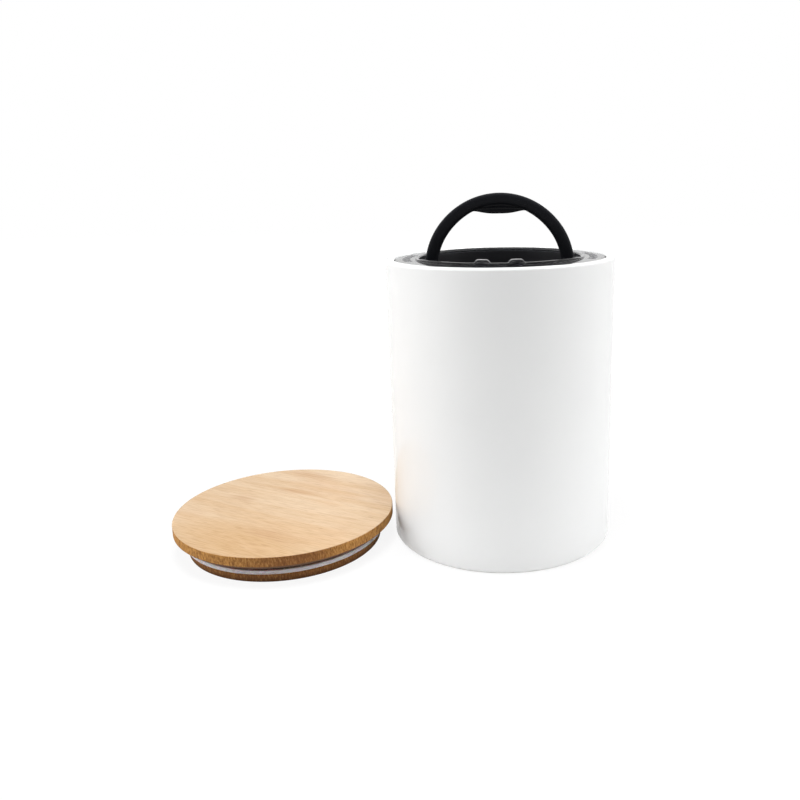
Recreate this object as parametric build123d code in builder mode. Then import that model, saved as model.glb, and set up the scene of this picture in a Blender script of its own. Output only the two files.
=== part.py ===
# Coffee canister with an air-purging plunger lid and a turned bamboo outer lid.
# Millimetres, +Z up, origin at the middle of the canister's foot, on the table. The front of
# the canister faces -Y. The bamboo lid lies on the table beside the canister.
from build123d import *
import os
from math import cos, radians, sin, sqrt

os.makedirs("parts", exist_ok=True)

# Canister: slip-cast stoneware, glazed inside and out
canister_radius = 70.0
canister_height = 178.0
canister_wall = 5.3
floor_thickness = 7.0
foot_ring_width = 9.0
foot_recess = 1.6
foot_edge_radius = 3.0
foot_inner_radius = 0.7
rim_outer_radius = 2.6
rim_inner_radius = 2.0
floor_corner_radius = 6.0
bore_radius = canister_radius - canister_wall

# Plunger: the smoke-grey inner lid. Heights run down from the canister's rim.
rim_z = canister_height
flange_drop = 0.7
flange_clearance = 0.8
flange_thickness = 2.0
flange_width = 14.4
plastic_wall = 2.0
well_depth = 17.5
lip_height = 1.6
lip_width = 1.8
skirt_clearance = 1.4
skirt_length = 23.5
seal_seat_height = 5.0
seal_seat_depth = 3.2
seal_clearance = 0.3
base_thickness = 2.5
spigot_height = 4.0
spigot_clearance = 0.15
plate_clearance = 1.8

flange_top = rim_z - flange_drop
flange_radius = bore_radius - flange_clearance
well_radius = flange_radius - flange_width
well_floor_z = rim_z - well_depth
skirt_radius = bore_radius - skirt_clearance
skirt_foot_z = flange_top - flange_thickness - skirt_length
seat_radius = skirt_radius - seal_seat_depth
seat_foot_z = skirt_foot_z - seal_seat_height
base_top_z = seat_foot_z
base_foot_z = base_top_z - base_thickness

# Catch tabs that stand on the front of the well's lip
tab_spacing = 19.6
tab_base_width = 12.0
tab_top_width = 6.4
tab_height = 1.6
tab_set_back = 0.9
tab_thickness = 3.0
tab_corner_radius = 1.1

# Tick marks raised on the flange, left and right
tick_count = 7
tick_step_degrees = 6.0
tick_length = 5.0
tick_width = 1.3
tick_height = 0.5
tick_clear_of_rim = 4.2

# Handle: a bail that stands up in the photographed pose and folds forward into the well
pivot_drop = 7.0
handle_side_gap = 4.2
handle_fold_gap = 4.5
crown_flattening = 0.6
inner_crown_tightening = 2.6
leg_turn_degrees = 35.0
shoulder_turn_degrees = 62.0
leg_thickness = 7.4
crown_thickness = 6.4
handle_depth = 7.0
handle_edge_radius = 2.4
trunnion_radius = 2.5
trunnion_clearance = 0.1
trunnion_reach = 6.2
hub_side_clearance = 0.4
cam_throw = 1.0
cam_width = 7.2
pad_radius = 5.6
boss_reach = 3.0
thumb_tab_width = 31.0
thumb_tab_drop = 12.8
thumb_tab_thickness = 3.6
thumb_tab_edge_radius = 0.9
thumb_dish_radius = 38.0
thumb_dish_depth = 0.8

pivot_z = rim_z - pivot_drop
handle_half_width = well_radius - handle_side_gap
handle_rise = well_radius - handle_fold_gap
crown_radius = handle_rise + crown_flattening
inner_crown_radius = handle_rise - crown_thickness - inner_crown_tightening
valve_travel = 2 * cam_throw
cam_radius = handle_depth / 2 + 1.5 * cam_throw

# Valve: a cross bar pushed down by the handle's cams carries a silicone plug on a stem
cam_gap = 0.15
bar_thickness = 2.0
bar_width = 8.0
bar_end_clearance = 0.6
bar_hub_radius = 9.5
plug_radius = 8.6
plug_lip = 0.7
plug_lip_width = 1.2
plug_flange = 1.2
seat_gap = 0.1
stem_radius = 1.5
stem_head_radius = 3.2
stem_head_height = 0.9
stem_clearance = 0.1
seat_bore_radius = 6.0
seat_bead_height = 0.5
seat_bead_width = 1.2
seat_flange_thickness = 1.2
chimney_radius = 9.5
port_clearance = 0.1
guide_height = 3.0
guide_ring_width = 1.6
guide_hub_radius = 3.2
guide_spoke_width = 1.8
guide_drop = 5.0
washer_radius = 4.6
washer_thickness = 0.6
spring_wire = 0.7
spring_mean_radius = 3.4
spring_turns = 4.5
clip_radius = 3.0
clip_thickness = 0.7
clip_gap = 0.1
clip_slot_width = 2.2
clip_groove_depth = 0.4
stem_tail = 1.0
vent_hole_radius = 1.6
vent_hole_count = 8
vent_circle_share = 0.62

bar_top_z = pivot_z - (cam_radius - cam_throw) - cam_gap
bar_foot_z = bar_top_z - bar_thickness
plug_foot_z = bar_foot_z - plug_flange - plug_lip
seat_top_z = plug_foot_z - valve_travel - seat_gap
seat_flange_foot_z = seat_top_z - seat_bead_height - seat_flange_thickness
guide_top_z = seat_flange_foot_z - guide_drop
guide_foot_z = guide_top_z - guide_height
washer_top_z = plug_foot_z + plug_lip
washer_foot_z = washer_top_z - washer_thickness

# Bamboo lid, turned from one laminated board, with a silicone ring in its groove
lid_inset = 0.5
lid_gap = 1.77
lid_bearing_degrees = 8.26
lid_height = 19.8
lid_plate_thickness = 7.8
lid_top_edge_radius = 0.5
lid_bevel_width = 3.0
lid_bevel_height = 2.4
plug_clearance = 3.7
rim_band_height = 4.8
groove_height = 5.2
groove_depth = 4.6
lid_rim_edge_radius = 0.6
hollow_wall = 5.5
hollow_depth = 9.5
hollow_corner_radius = 1.5
ring_clearance = 0.05
fin_clearance = 0.9
fin_thickness = 1.0
fin_count = 3
fin_droop = 0.5

lid_radius = canister_radius - lid_inset
lid_distance = canister_radius + lid_gap + lid_radius
lid_x = -lid_distance * cos(radians(lid_bearing_degrees))
lid_y = -lid_distance * sin(radians(lid_bearing_degrees))
lid_plug_radius = bore_radius - plug_clearance
groove_radius = lid_plug_radius - groove_depth
groove_foot_z = rim_band_height
groove_top_z = groove_foot_z + groove_height
lid_plate_foot_z = lid_height - lid_plate_thickness

# Cuts that run through a wall go this much past it
overrun = 1.0

front_plane = Plane.XZ
lid_plane = Plane(origin=(lid_x, lid_y, 0), x_dir=(1, 0, 0), z_dir=(0, -1, 0))
lid_axis = Axis((lid_x, lid_y, 0), (0, 0, 1))


def corner(sketch, x, y):
    """The sketch's corner nearest to a point."""
    return sketch.vertices().sort_by_distance((x, y, 0))[0]


def arch_radii(half_width, rise, crown):
    """Leg and shoulder radii of a five-arc arch of this width and rise, all arcs tangent."""
    a, b = radians(leg_turn_degrees), radians(shoulder_turn_degrees)
    x_left = half_width - crown * cos(b)
    z_left = rise - crown * (1 - sin(b))
    # Each arc goes sideways by its radius times a difference of cosines, and up by one of sines
    x_leg, x_shoulder = 1 - cos(a), cos(a) - cos(b)
    z_leg, z_shoulder = sin(a), sin(b) - sin(a)
    whole = x_leg * z_shoulder - x_shoulder * z_leg
    leg = (x_left * z_shoulder - x_shoulder * z_left) / whole
    shoulder = (x_leg * z_left - z_leg * x_left) / whole
    return leg, shoulder


def arch_points(half_width, rise, crown):
    """Ends and middles of the five arcs, from the right foot over the crown to the left foot."""
    leg, shoulder = arch_radii(half_width, rise, crown)
    turns = [0, leg_turn_degrees, shoulder_turn_degrees, 90.0]
    x, z = half_width, pivot_z
    right = [(x, z)]
    for radius, start, end in zip((leg, shoulder, crown), turns, turns[1:]):
        for a, b in ((start, (start + end) / 2), ((start + end) / 2, end)):
            x -= radius * (cos(radians(a)) - cos(radians(b)))
            z += radius * (sin(radians(b)) - sin(radians(a)))
            right.append((x, z))
    left = [(-x, z) for x, z in reversed(right[:-1])]
    return right + left


def arch(points):
    """Arcs through the points of arch_points, two spans to an arc. Call inside BuildLine."""
    for i in range(0, len(points) - 2, 2):
        ThreePointArc(points[i], points[i + 1], points[i + 2])


def save(piece, name):
    """Labels a finished piece and writes it to its STEP file."""
    piece.part.label = name
    export_step(piece.part, f"parts/{name}.step")


# Canister body: a straight wall on a thick floor, standing on a bare foot ring
with BuildPart() as canister_body:
    with BuildSketch(front_plane) as wall_section:
        foot_bore = canister_radius - foot_ring_width
        with BuildLine():
            Polyline(
                (0, foot_recess),
                (foot_bore, foot_recess),
                (foot_bore, 0),
                (canister_radius, 0),
                (canister_radius, canister_height),
                (bore_radius, canister_height),
                (bore_radius, floor_thickness),
                (0, floor_thickness),
                close=True,
            )
        make_face()
        fillet(corner(wall_section, canister_radius, 0), foot_edge_radius)
        fillet(corner(wall_section, foot_bore, 0), foot_inner_radius)
        fillet(corner(wall_section, canister_radius, canister_height), rim_outer_radius)
        fillet(corner(wall_section, bore_radius, canister_height), rim_inner_radius)
        fillet(corner(wall_section, bore_radius, floor_thickness), floor_corner_radius)
    revolve(axis=Axis.Z)
save(canister_body, "canister_body")

# Plunger shell: flange, well for the folded handle, and skirt, moulded in one piece
with BuildPart() as plunger_shell:
    port_radius = chimney_radius + port_clearance
    with BuildSketch(front_plane) as shell_section:
        well_outer = well_radius + plastic_wall
        skirt_inner = skirt_radius - plastic_wall
        seat_inner = seat_radius - plastic_wall
        with BuildLine():
            Polyline(
                (port_radius, well_floor_z),
                (well_radius, well_floor_z),
                (well_radius, flange_top + lip_height),
                (well_radius + lip_width, flange_top + lip_height),
                (well_radius + lip_width, flange_top),
                (flange_radius, flange_top),
                (flange_radius, flange_top - flange_thickness),
                (skirt_radius, flange_top - flange_thickness),
                (skirt_radius, skirt_foot_z),
                (seat_radius, skirt_foot_z),
                (seat_radius, seat_foot_z),
                (seat_inner, seat_foot_z),
                (seat_inner, skirt_foot_z + plastic_wall),
                (skirt_inner, skirt_foot_z + plastic_wall),
                (skirt_inner, flange_top - flange_thickness),
                (well_outer, flange_top - flange_thickness),
                (well_outer, well_floor_z - plastic_wall),
                (port_radius, well_floor_z - plastic_wall),
                close=True,
            )
        make_face()
        fillet(corner(shell_section, well_radius, well_floor_z), plastic_wall)
        fillet(corner(shell_section, well_radius, flange_top + lip_height), lip_width / 3)
        fillet(corner(shell_section, well_radius + lip_width, flange_top + lip_height), lip_width / 4)
        fillet(corner(shell_section, flange_radius, flange_top), flange_thickness / 3)
    revolve(axis=Axis.Z)

    # Round pads inside the well wall and bosses outside it carry the handle's trunnions
    pad_face = handle_half_width + hub_side_clearance
    boss_face = well_outer + boss_reach
    for side in (1, -1):
        with BuildSketch(Plane.YZ.offset(side * pad_face)):
            with Locations((0, pivot_z)):
                Circle(pad_radius)
        extrude(amount=side * (boss_face - pad_face))
        with BuildSketch(Plane.YZ.offset(side * (pad_face - overrun))):
            with Locations((0, pivot_z)):
                Circle(trunnion_radius + trunnion_clearance)
        extrude(amount=side * (boss_face - pad_face + 2 * overrun), mode=Mode.SUBTRACT)

    # Two catch tabs with round shoulders on the front of the lip
    tab_foot_z = flange_top
    tab_top_z = flange_top + lip_height + tab_height
    with BuildSketch(front_plane.offset(well_radius - tab_set_back)) as tab_outline:
        for side in (1, -1):
            centre = side * tab_spacing / 2
            with BuildLine():
                Polyline(
                    (centre - tab_base_width / 2, tab_foot_z),
                    (centre + tab_base_width / 2, tab_foot_z),
                    (centre + tab_base_width / 2, flange_top + lip_height),
                    (centre + tab_top_width / 2, tab_top_z),
                    (centre - tab_top_width / 2, tab_top_z),
                    (centre - tab_base_width / 2, flange_top + lip_height),
                    close=True,
                )
            make_face()
        tops = tab_outline.vertices().group_by(Axis.Y)[-1]
        fillet(tops, tab_corner_radius)
    extrude(amount=tab_thickness)

    # Raised tick marks on the flange, a fan of them on each side
    with BuildSketch(Plane.XY.offset(flange_top)):
        tick_radius = flange_radius - tick_clear_of_rim - tick_length / 2
        fan = tick_step_degrees * (tick_count - 1)
        for side_degrees in (0, 180):
            with PolarLocations(tick_radius, tick_count, side_degrees - fan / 2, fan, endpoint=True):
                SlotOverall(tick_length, tick_width)
    extrude(amount=tick_height)
save(plunger_shell, "plunger_shell")

# Plunger base: closes the underside, clamps the seal and carries the valve chimney
with BuildPart() as plunger_base:
    chimney_inner = chimney_radius - plastic_wall
    chimney_top_z = seat_flange_foot_z
    spigot_radius = seat_radius - plastic_wall - spigot_clearance
    with BuildSketch(front_plane) as base_section:
        plate_radius = bore_radius - plate_clearance
        with BuildLine():
            Polyline(
                (0, base_foot_z),
                (plate_radius, base_foot_z),
                (plate_radius, base_top_z),
                (spigot_radius, base_top_z),
                (spigot_radius, base_top_z + spigot_height),
                (spigot_radius - plastic_wall, base_top_z + spigot_height),
                (spigot_radius - plastic_wall, base_top_z),
                (chimney_radius, base_top_z),
                (chimney_radius, chimney_top_z),
                (chimney_inner, chimney_top_z),
                (chimney_inner, base_top_z),
                (0, base_top_z),
                close=True,
            )
        make_face()
        fillet(corner(base_section, plate_radius, base_foot_z), plastic_wall / 2)
    revolve(axis=Axis.Z)
    with BuildSketch(Plane.XY.offset(base_top_z + overrun)):
        with PolarLocations(chimney_inner * vent_circle_share, vent_hole_count):
            Circle(vent_hole_radius)
    extrude(amount=-(base_thickness + 2 * overrun), mode=Mode.SUBTRACT)
save(plunger_base, "plunger_base")

# Wiper seal: a silicone ring clamped between shell and base, with two lips for the bore
with BuildPart() as wiper_seal:
    with BuildSketch(front_plane):
        seal_inner = seat_radius + ring_clearance
        seal_body = plate_radius
        lip_reach = bore_radius - seal_clearance
        seal_top = skirt_foot_z - ring_clearance
        seal_foot = seat_foot_z + ring_clearance
        seal_band = (seal_top - seal_foot) / 5
        with BuildLine():
            Polyline(
                (seal_inner, seal_foot),
                (seal_body, seal_foot),
                (lip_reach, seal_foot + seal_band),
                (lip_reach, seal_foot + 1.5 * seal_band),
                (seal_body, seal_foot + 2 * seal_band),
                (seal_body, seal_foot + 3 * seal_band),
                (lip_reach, seal_foot + 4 * seal_band),
                (lip_reach, seal_foot + 4.5 * seal_band),
                (seal_body, seal_top),
                (seal_inner, seal_top),
                close=True,
            )
        make_face()
    revolve(axis=Axis.Z)
save(wiper_seal, "wiper_seal")

# Thumb lip inside the handle's crown, thinner than the bail and dished on both faces
crown_z = pivot_z + handle_rise
lip_root_z = crown_z - crown_thickness / 2
lip_foot_z = crown_z - thumb_tab_drop
lip_ends = thumb_tab_width / 2
# Its ends lie on the arc of the crown's inner edge
lip_end_z = crown_z - crown_thickness - inner_crown_radius + sqrt(inner_crown_radius**2 - lip_ends**2)
with BuildPart() as thumb_lip:
    with BuildSketch(front_plane):
        with BuildLine():
            ThreePointArc((-lip_ends, lip_end_z), (0, lip_foot_z), (lip_ends, lip_end_z))
            Line((lip_ends, lip_end_z), (lip_ends / 2, lip_root_z))
            Line((lip_ends / 2, lip_root_z), (-lip_ends / 2, lip_root_z))
            Line((-lip_ends / 2, lip_root_z), (-lip_ends, lip_end_z))
        make_face()
    extrude(amount=thumb_tab_thickness / 2, both=True)
    fillet(thumb_lip.edges().filter_by(GeomType.CIRCLE), thumb_tab_edge_radius)
    dish_centre = thumb_tab_thickness / 2 - thumb_dish_depth + thumb_dish_radius
    for side in (1, -1):
        with Locations((0, side * dish_centre, lip_foot_z + crown_thickness / 2)):
            Sphere(thumb_dish_radius, mode=Mode.SUBTRACT)

# Handle: a flattened bail with cam hubs and trunnions at its feet and the lip for the thumb
with BuildPart() as handle:
    outer_points = arch_points(handle_half_width, handle_rise, crown_radius)
    inner_points = arch_points(
        handle_half_width - leg_thickness,
        handle_rise - crown_thickness,
        inner_crown_radius,
    )
    with BuildSketch(front_plane) as bail_outline:
        with BuildLine():
            arch(outer_points)
            Line(outer_points[-1], inner_points[-1])
            arch(inner_points)
            Line(inner_points[0], outer_points[0])
        make_face()
    extrude(amount=handle_depth / 2, both=True)
    rounded = handle.edges().filter_by(GeomType.CIRCLE)
    fillet(rounded, handle_edge_radius)

    add(thumb_lip.part)

    # An eccentric cam under each leg, its centre forward of and above the trunnion
    for side in (1, -1):
        with BuildSketch(Plane.YZ.offset(side * handle_half_width)):
            with Locations((-cam_throw, pivot_z + cam_throw)):
                Circle(cam_radius)
        extrude(amount=-side * cam_width)
        with BuildSketch(Plane.YZ.offset(side * (handle_half_width - cam_width / 2))):
            with Locations((0, pivot_z)):
                Circle(trunnion_radius)
        extrude(amount=side * (trunnion_reach + cam_width / 2))
save(handle, "handle")

# Valve bar: a cross bar whose ends lie under the cams
with BuildPart() as valve_bar:
    bar_reach = pad_face - bar_end_clearance
    with BuildSketch(Plane.XY.offset(bar_foot_z)):
        SlotOverall(2 * bar_reach, bar_width)
        Circle(bar_hub_radius)
        Circle(stem_radius + stem_clearance, mode=Mode.SUBTRACT)
    extrude(amount=bar_thickness)
save(valve_bar, "valve_bar")

# Valve plug: a silicone disc under the bar, with a sealing lip round its edge
with BuildPart() as valve_plug:
    with BuildSketch(front_plane):
        plug_bore = stem_radius + stem_clearance
        with BuildLine():
            Polyline(
                (plug_bore, bar_foot_z),
                (plug_radius, bar_foot_z),
                (plug_radius, plug_foot_z),
                (plug_radius - plug_lip_width, plug_foot_z),
                (plug_radius - plug_lip_width, washer_top_z),
                (plug_bore, washer_top_z),
                close=True,
            )
        make_face()
    revolve(axis=Axis.Z)
save(valve_plug, "valve_plug")

# Valve seat: a ring over the chimney, its raised bead meeting the plug's lip
with BuildPart() as valve_seat:
    with BuildSketch(front_plane):
        seat_outer = chimney_radius
        bead_outer = plug_radius
        bead_inner = plug_radius - seat_bead_width
        bead_foot_z = seat_top_z - seat_bead_height
        with BuildLine():
            Polyline(
                (seat_bore_radius, seat_flange_foot_z),
                (seat_outer, seat_flange_foot_z),
                (seat_outer, bead_foot_z),
                (bead_outer, bead_foot_z),
                (bead_outer, seat_top_z),
                (bead_inner, seat_top_z),
                (bead_inner, bead_foot_z),
                (seat_bore_radius, bead_foot_z),
                close=True,
            )
        make_face()
    revolve(axis=Axis.Z)
save(valve_seat, "valve_seat")

# Stem guide: a three-spoked spider pressed in the chimney
with BuildPart() as stem_guide:
    guide_radius = chimney_inner
    with BuildSketch(Plane.XY.offset(guide_foot_z)):
        Circle(guide_radius)
        Circle(guide_radius - guide_ring_width, mode=Mode.SUBTRACT)
        with PolarLocations(guide_radius / 2, 3):
            Rectangle(guide_radius - guide_ring_width / 2, guide_spoke_width)
        Circle(guide_hub_radius)
        Circle(stem_radius + stem_clearance, mode=Mode.SUBTRACT)
    extrude(amount=guide_height)
save(stem_guide, "stem_guide")

# Valve stem: a headed pin through bar, plug, washer and guide, with a groove for its clip
with BuildPart() as valve_stem:
    clip_top_z = guide_foot_z - clip_gap
    clip_foot_z = clip_top_z - clip_thickness
    with BuildSketch(front_plane):
        groove_bottom = stem_radius - clip_groove_depth
        with BuildLine():
            Polyline(
                (0, clip_foot_z - stem_tail),
                (stem_radius, clip_foot_z - stem_tail),
                (stem_radius, clip_foot_z),
                (groove_bottom, clip_foot_z),
                (groove_bottom, clip_top_z),
                (stem_radius, clip_top_z),
                (stem_radius, bar_top_z),
                (stem_head_radius, bar_top_z),
                (stem_head_radius, bar_top_z + stem_head_height),
                (0, bar_top_z + stem_head_height),
                close=True,
            )
        make_face()
    revolve(axis=Axis.Z)
    fillet(valve_stem.faces().sort_by(Axis.Z)[-1].edges(), stem_head_height / 3)
save(valve_stem, "valve_stem")

# Stem clip: a slotted ring in the stem's groove, which stops the stem under the guide
with BuildPart() as stem_clip:
    with BuildSketch(Plane.XY.offset(clip_foot_z)):
        Circle(clip_radius)
        Circle(groove_bottom + clip_gap, mode=Mode.SUBTRACT)
        with Locations((0, -clip_radius)):
            Rectangle(clip_slot_width, 2 * clip_radius, mode=Mode.SUBTRACT)
    extrude(amount=clip_thickness)
save(stem_clip, "stem_clip")

# Valve washer: spreads the spring's push over the plug
with BuildPart() as valve_washer:
    with BuildSketch(Plane.XY.offset(washer_foot_z)):
        Circle(washer_radius)
        Circle(stem_radius + stem_clearance, mode=Mode.SUBTRACT)
    extrude(amount=washer_thickness)
save(valve_washer, "valve_washer")

# Valve spring: a coil round the stem, from the guide to the washer
with BuildPart() as valve_spring:
    spring_foot_z = guide_top_z + spring_wire / 2
    spring_height = washer_foot_z - guide_top_z - spring_wire
    spring_pitch = spring_height / spring_turns
    with BuildLine():
        coil = Helix(spring_pitch, spring_height, spring_mean_radius, center=(0, 0, spring_foot_z))
    with BuildSketch(Plane(origin=coil @ 0, z_dir=coil % 0)):
        Circle(spring_wire / 2)
    sweep(path=coil, is_frenet=True)
save(valve_spring, "valve_spring")

# Bamboo lid: a bevelled plate over a grooved plug, hollow underneath
with BuildPart() as bamboo_lid:
    with BuildSketch(lid_plane) as board_section:
        hollow_radius = groove_radius - hollow_wall
        with BuildLine():
            Polyline(
                (0, hollow_depth),
                (hollow_radius, hollow_depth),
                (hollow_radius, 0),
                (lid_plug_radius, 0),
                (lid_plug_radius, groove_foot_z),
                (groove_radius, groove_foot_z),
                (groove_radius, groove_top_z),
                (lid_plug_radius, groove_top_z),
                (lid_plug_radius, lid_plate_foot_z),
                (lid_radius - lid_bevel_width, lid_plate_foot_z),
                (lid_radius, lid_plate_foot_z + lid_bevel_height),
                (lid_radius, lid_height),
                (0, lid_height),
                close=True,
            )
        make_face()
        fillet(corner(board_section, lid_radius, lid_height), lid_top_edge_radius)
        fillet(corner(board_section, lid_plug_radius, 0), lid_rim_edge_radius)
        fillet(corner(board_section, hollow_radius, hollow_depth), hollow_corner_radius)
    revolve(axis=lid_axis)
save(bamboo_lid, "bamboo_lid")

# Lid ring: translucent silicone in the lid's groove, with thin fins for the canister's bore
with BuildPart() as lid_ring:
    ring_inner = groove_radius + ring_clearance
    ring_foot_z = groove_foot_z + ring_clearance
    ring_top_z = groove_top_z - ring_clearance
    ring_body = lid_plug_radius - fin_droop
    fin_reach = bore_radius - fin_clearance
    fin_pitch = (ring_top_z - ring_foot_z) / fin_count
    with BuildSketch(lid_plane):
        with BuildLine():
            fin_points = []
            for i in range(fin_count):
                fin_foot = ring_foot_z + (i + 0.5) * fin_pitch - fin_thickness / 2
                fin_points += [
                    (ring_body, fin_foot),
                    (fin_reach, fin_foot + fin_droop),
                    (fin_reach, fin_foot + fin_thickness),
                    (ring_body, fin_foot + fin_thickness),
                ]
            Polyline(
                (ring_inner, ring_foot_z),
                (ring_body, ring_foot_z),
                *fin_points,
                (ring_body, ring_top_z),
                (ring_inner, ring_top_z),
                close=True,
            )
        make_face()
    revolve(axis=lid_axis)
save(lid_ring, "lid_ring")
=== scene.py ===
# %% [markdown]
# # A glazed coffee canister, its plunger lid and its bamboo lid
# The canister is white glazed stoneware. A smoke-grey plunger lid with a folding black handle sits
# in its mouth, and a bamboo lid with a pale silicone ring lies on the table beside it.
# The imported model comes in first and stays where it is. Every surface made below is fitted to it.

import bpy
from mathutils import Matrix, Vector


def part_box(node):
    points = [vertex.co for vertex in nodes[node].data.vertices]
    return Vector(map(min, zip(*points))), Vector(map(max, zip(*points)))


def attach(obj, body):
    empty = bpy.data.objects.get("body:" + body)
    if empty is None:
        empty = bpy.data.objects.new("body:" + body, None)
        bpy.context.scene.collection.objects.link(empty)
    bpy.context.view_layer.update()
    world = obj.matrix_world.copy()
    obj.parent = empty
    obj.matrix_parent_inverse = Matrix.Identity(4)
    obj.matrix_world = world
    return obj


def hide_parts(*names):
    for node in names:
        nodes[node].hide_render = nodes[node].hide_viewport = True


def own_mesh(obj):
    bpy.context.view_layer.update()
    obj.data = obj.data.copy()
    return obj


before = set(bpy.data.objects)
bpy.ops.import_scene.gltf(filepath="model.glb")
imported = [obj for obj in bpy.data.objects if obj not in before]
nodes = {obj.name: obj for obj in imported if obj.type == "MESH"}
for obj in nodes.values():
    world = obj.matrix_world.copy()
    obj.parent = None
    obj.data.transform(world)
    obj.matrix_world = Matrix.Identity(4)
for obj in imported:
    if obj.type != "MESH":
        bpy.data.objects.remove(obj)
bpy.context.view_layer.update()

# %% [markdown]
# ## Measures
# Blender works in metres, and this object is easier to think of in millimetres. One factor turns
# the second into the first. The outer sizes are read from the frame, so the dressed pieces can't
# drift from the solids that they stand for.

# %% Measures that everything shares
from math import radians

import bmesh
import bpy
import numpy as np
from mathutils import Matrix, Vector

MM = 0.001
WALL_THICKNESS = 5.3 * MM
canister_low, canister_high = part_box("canister_body")
canister_radius = (canister_high.x - canister_low.x) / 2
canister_height = canister_high.z
bore_radius = canister_radius - WALL_THICKNESS
print(f"canister {2 * canister_radius / MM:.1f} mm across, {canister_height / MM:.1f} mm high")

# %% [markdown]
# ## The camera
# The photograph was taken from close by, a little above the rim: the canister looks wider at its
# mouth than at its foot, and its rim is a thin ellipse. Fitting those ellipses gave the camera's
# distance, height and turn. The canister stands right of the middle of the picture, which a small
# shift of the lens gives without turning the camera away.

# %% Camera
PHOTO_PIXELS = 800
SENSOR_WIDTH = 36.0
CAMERA_DISTANCE, CAMERA_HEIGHT = 488.7 * MM, 224.3 * MM
focal_pixels = 788.1
centre_pixel_x, centre_pixel_y = 450.5, 365.3
camera_pitch, camera_yaw, camera_roll = radians(-13.255), radians(-3.70), radians(-1.282)
camera_data = bpy.data.cameras.new("camera")
camera_data.sensor_width = SENSOR_WIDTH
camera_data.lens = SENSOR_WIDTH * focal_pixels / PHOTO_PIXELS
camera_data.shift_x = (PHOTO_PIXELS / 2 - centre_pixel_x) / PHOTO_PIXELS
camera_data.shift_y = (centre_pixel_y - PHOTO_PIXELS / 2) / PHOTO_PIXELS
camera = bpy.data.objects.new("camera", camera_data)
bpy.context.scene.collection.objects.link(camera)
camera.location = (0, -CAMERA_DISTANCE, CAMERA_HEIGHT)


def camera_axes(pitch, yaw, roll):
    """Right, up and back axes: look along +Y, tip by pitch, turn by yaw to the right, then roll."""
    forward = np.array([np.sin(yaw) * np.cos(pitch), np.cos(yaw) * np.cos(pitch), np.sin(pitch)])
    level = np.cross(forward, [0, 0, 1])
    level /= np.linalg.norm(level)
    above = np.cross(level, forward)
    right = np.cos(roll) * level + np.sin(roll) * above
    up = np.cos(roll) * above - np.sin(roll) * level
    return np.stack([right, up, -forward], axis=1)


camera.rotation_mode = "QUATERNION"
axes = Matrix(camera_axes(camera_pitch, camera_yaw, camera_roll).tolist())
camera.rotation_quaternion = axes.to_quaternion()
bpy.context.scene.camera = camera
print(f"lens {camera_data.lens:.2f} mm, shift {camera_data.shift_x:.4f}, {camera_data.shift_y:.4f}")

# %% [markdown]
# ## Light
# The photograph is a bright table-top shot: soft light from both sides and from above, white all
# round, and hardly a shadow. The front of the canister faces the camera and gets the least light,
# so a soft grey band runs down its middle. Two large panels at the sides and one above give that.
# Reflections don't show the panels, only the room, so the glaze has no bright squares on it.

# %% Lamps
SIDE_PANEL, TOP_PANEL = 0.9, 0.5
LEFT_WATTS, RIGHT_WATTS, TOP_WATTS = 7.8, 7.3, 3.3
TOP_SPREAD = radians(95)


def add_panel(name, place, size, watts, target=(0, 0, 0.09)):
    """A square area lamp at a place, facing a target point."""
    light = bpy.data.lights.new(name, "AREA")
    light.size = size
    light.energy = watts
    lamp = bpy.data.objects.new(name, light)
    bpy.context.scene.collection.objects.link(lamp)
    lamp.location = place
    toward = np.array(target) - np.array(place)
    lamp.rotation_mode = "QUATERNION"
    lamp.rotation_quaternion = Vector(toward).to_track_quat("-Z", "Y")
    lamp.visible_glossy = False
    print(f"{name}: {watts} W, {size} m wide")
    return lamp


add_panel("left_panel", (-1.13, -0.16, 0.42), SIDE_PANEL, LEFT_WATTS)
add_panel("right_panel", (1.14, -0.12, 0.42), SIDE_PANEL, RIGHT_WATTS)
top_panel = add_panel("top_panel", (-0.06, -0.1, 1.15), TOP_PANEL, TOP_WATTS, (-0.06, -0.08, 0))
top_panel.data.spread = TOP_SPREAD

# %% [markdown]
# Shaders are built from nodes. These few helpers add one, join two, do a sum, bring a value into a
# new range and take a vector apart. The world, the table and every finish use them.

# %% Helpers for nodes
def node(tree, kind, **values):
    """A shader node, with its properties set by name and its sockets by their label."""
    made = tree.nodes.new(kind)
    for key, value in values.items():
        label = key.replace("_", " ")
        if hasattr(made, key):
            setattr(made, key, value)
        elif label in made.inputs:
            made.inputs[label].default_value = value
        else:
            raise KeyError(f"{kind} has no {key}")
    return made


def link(tree, source, target):
    """Joins an output socket to an input socket."""
    tree.links.new(source, target)


def combine(tree, kind, one, two=0.0):
    """Two values put together by a Math node; either may be a number."""
    made = node(tree, "ShaderNodeMath", operation=kind)
    for socket, value in zip(made.inputs, (one, two)):
        if isinstance(value, (int, float)):
            socket.default_value = value
        else:
            link(tree, value, socket)
    return made.outputs[0]


def remap(tree, value, low, high, to_low=0.0, to_high=1.0, smooth=False):
    """A value between low and high brought between two others."""
    made = node(tree, "ShaderNodeMapRange")
    made.interpolation_type = "SMOOTHSTEP" if smooth else "LINEAR"
    ends = {"From Min": low, "From Max": high, "To Min": to_low, "To Max": to_high}
    for label, number in ends.items():
        made.inputs[label].default_value = number
    link(tree, value, made.inputs["Value"])
    return made.outputs["Result"]


def split(tree, vector):
    """The X, Y and Z outputs of a vector socket."""
    made = node(tree, "ShaderNodeSeparateXYZ")
    link(tree, vector, made.inputs[0])
    return made.outputs


# %% [markdown]
# The room is white to the camera and to reflections, and only a soft grey to matt surfaces. A
# Light Path node tells the rays apart, so the background is white without more light falling on
# the object. Reflections find the room darker in front, where whoever takes the picture stands in
# the way of the light. That keeps the black handle and the dark well black.

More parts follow.
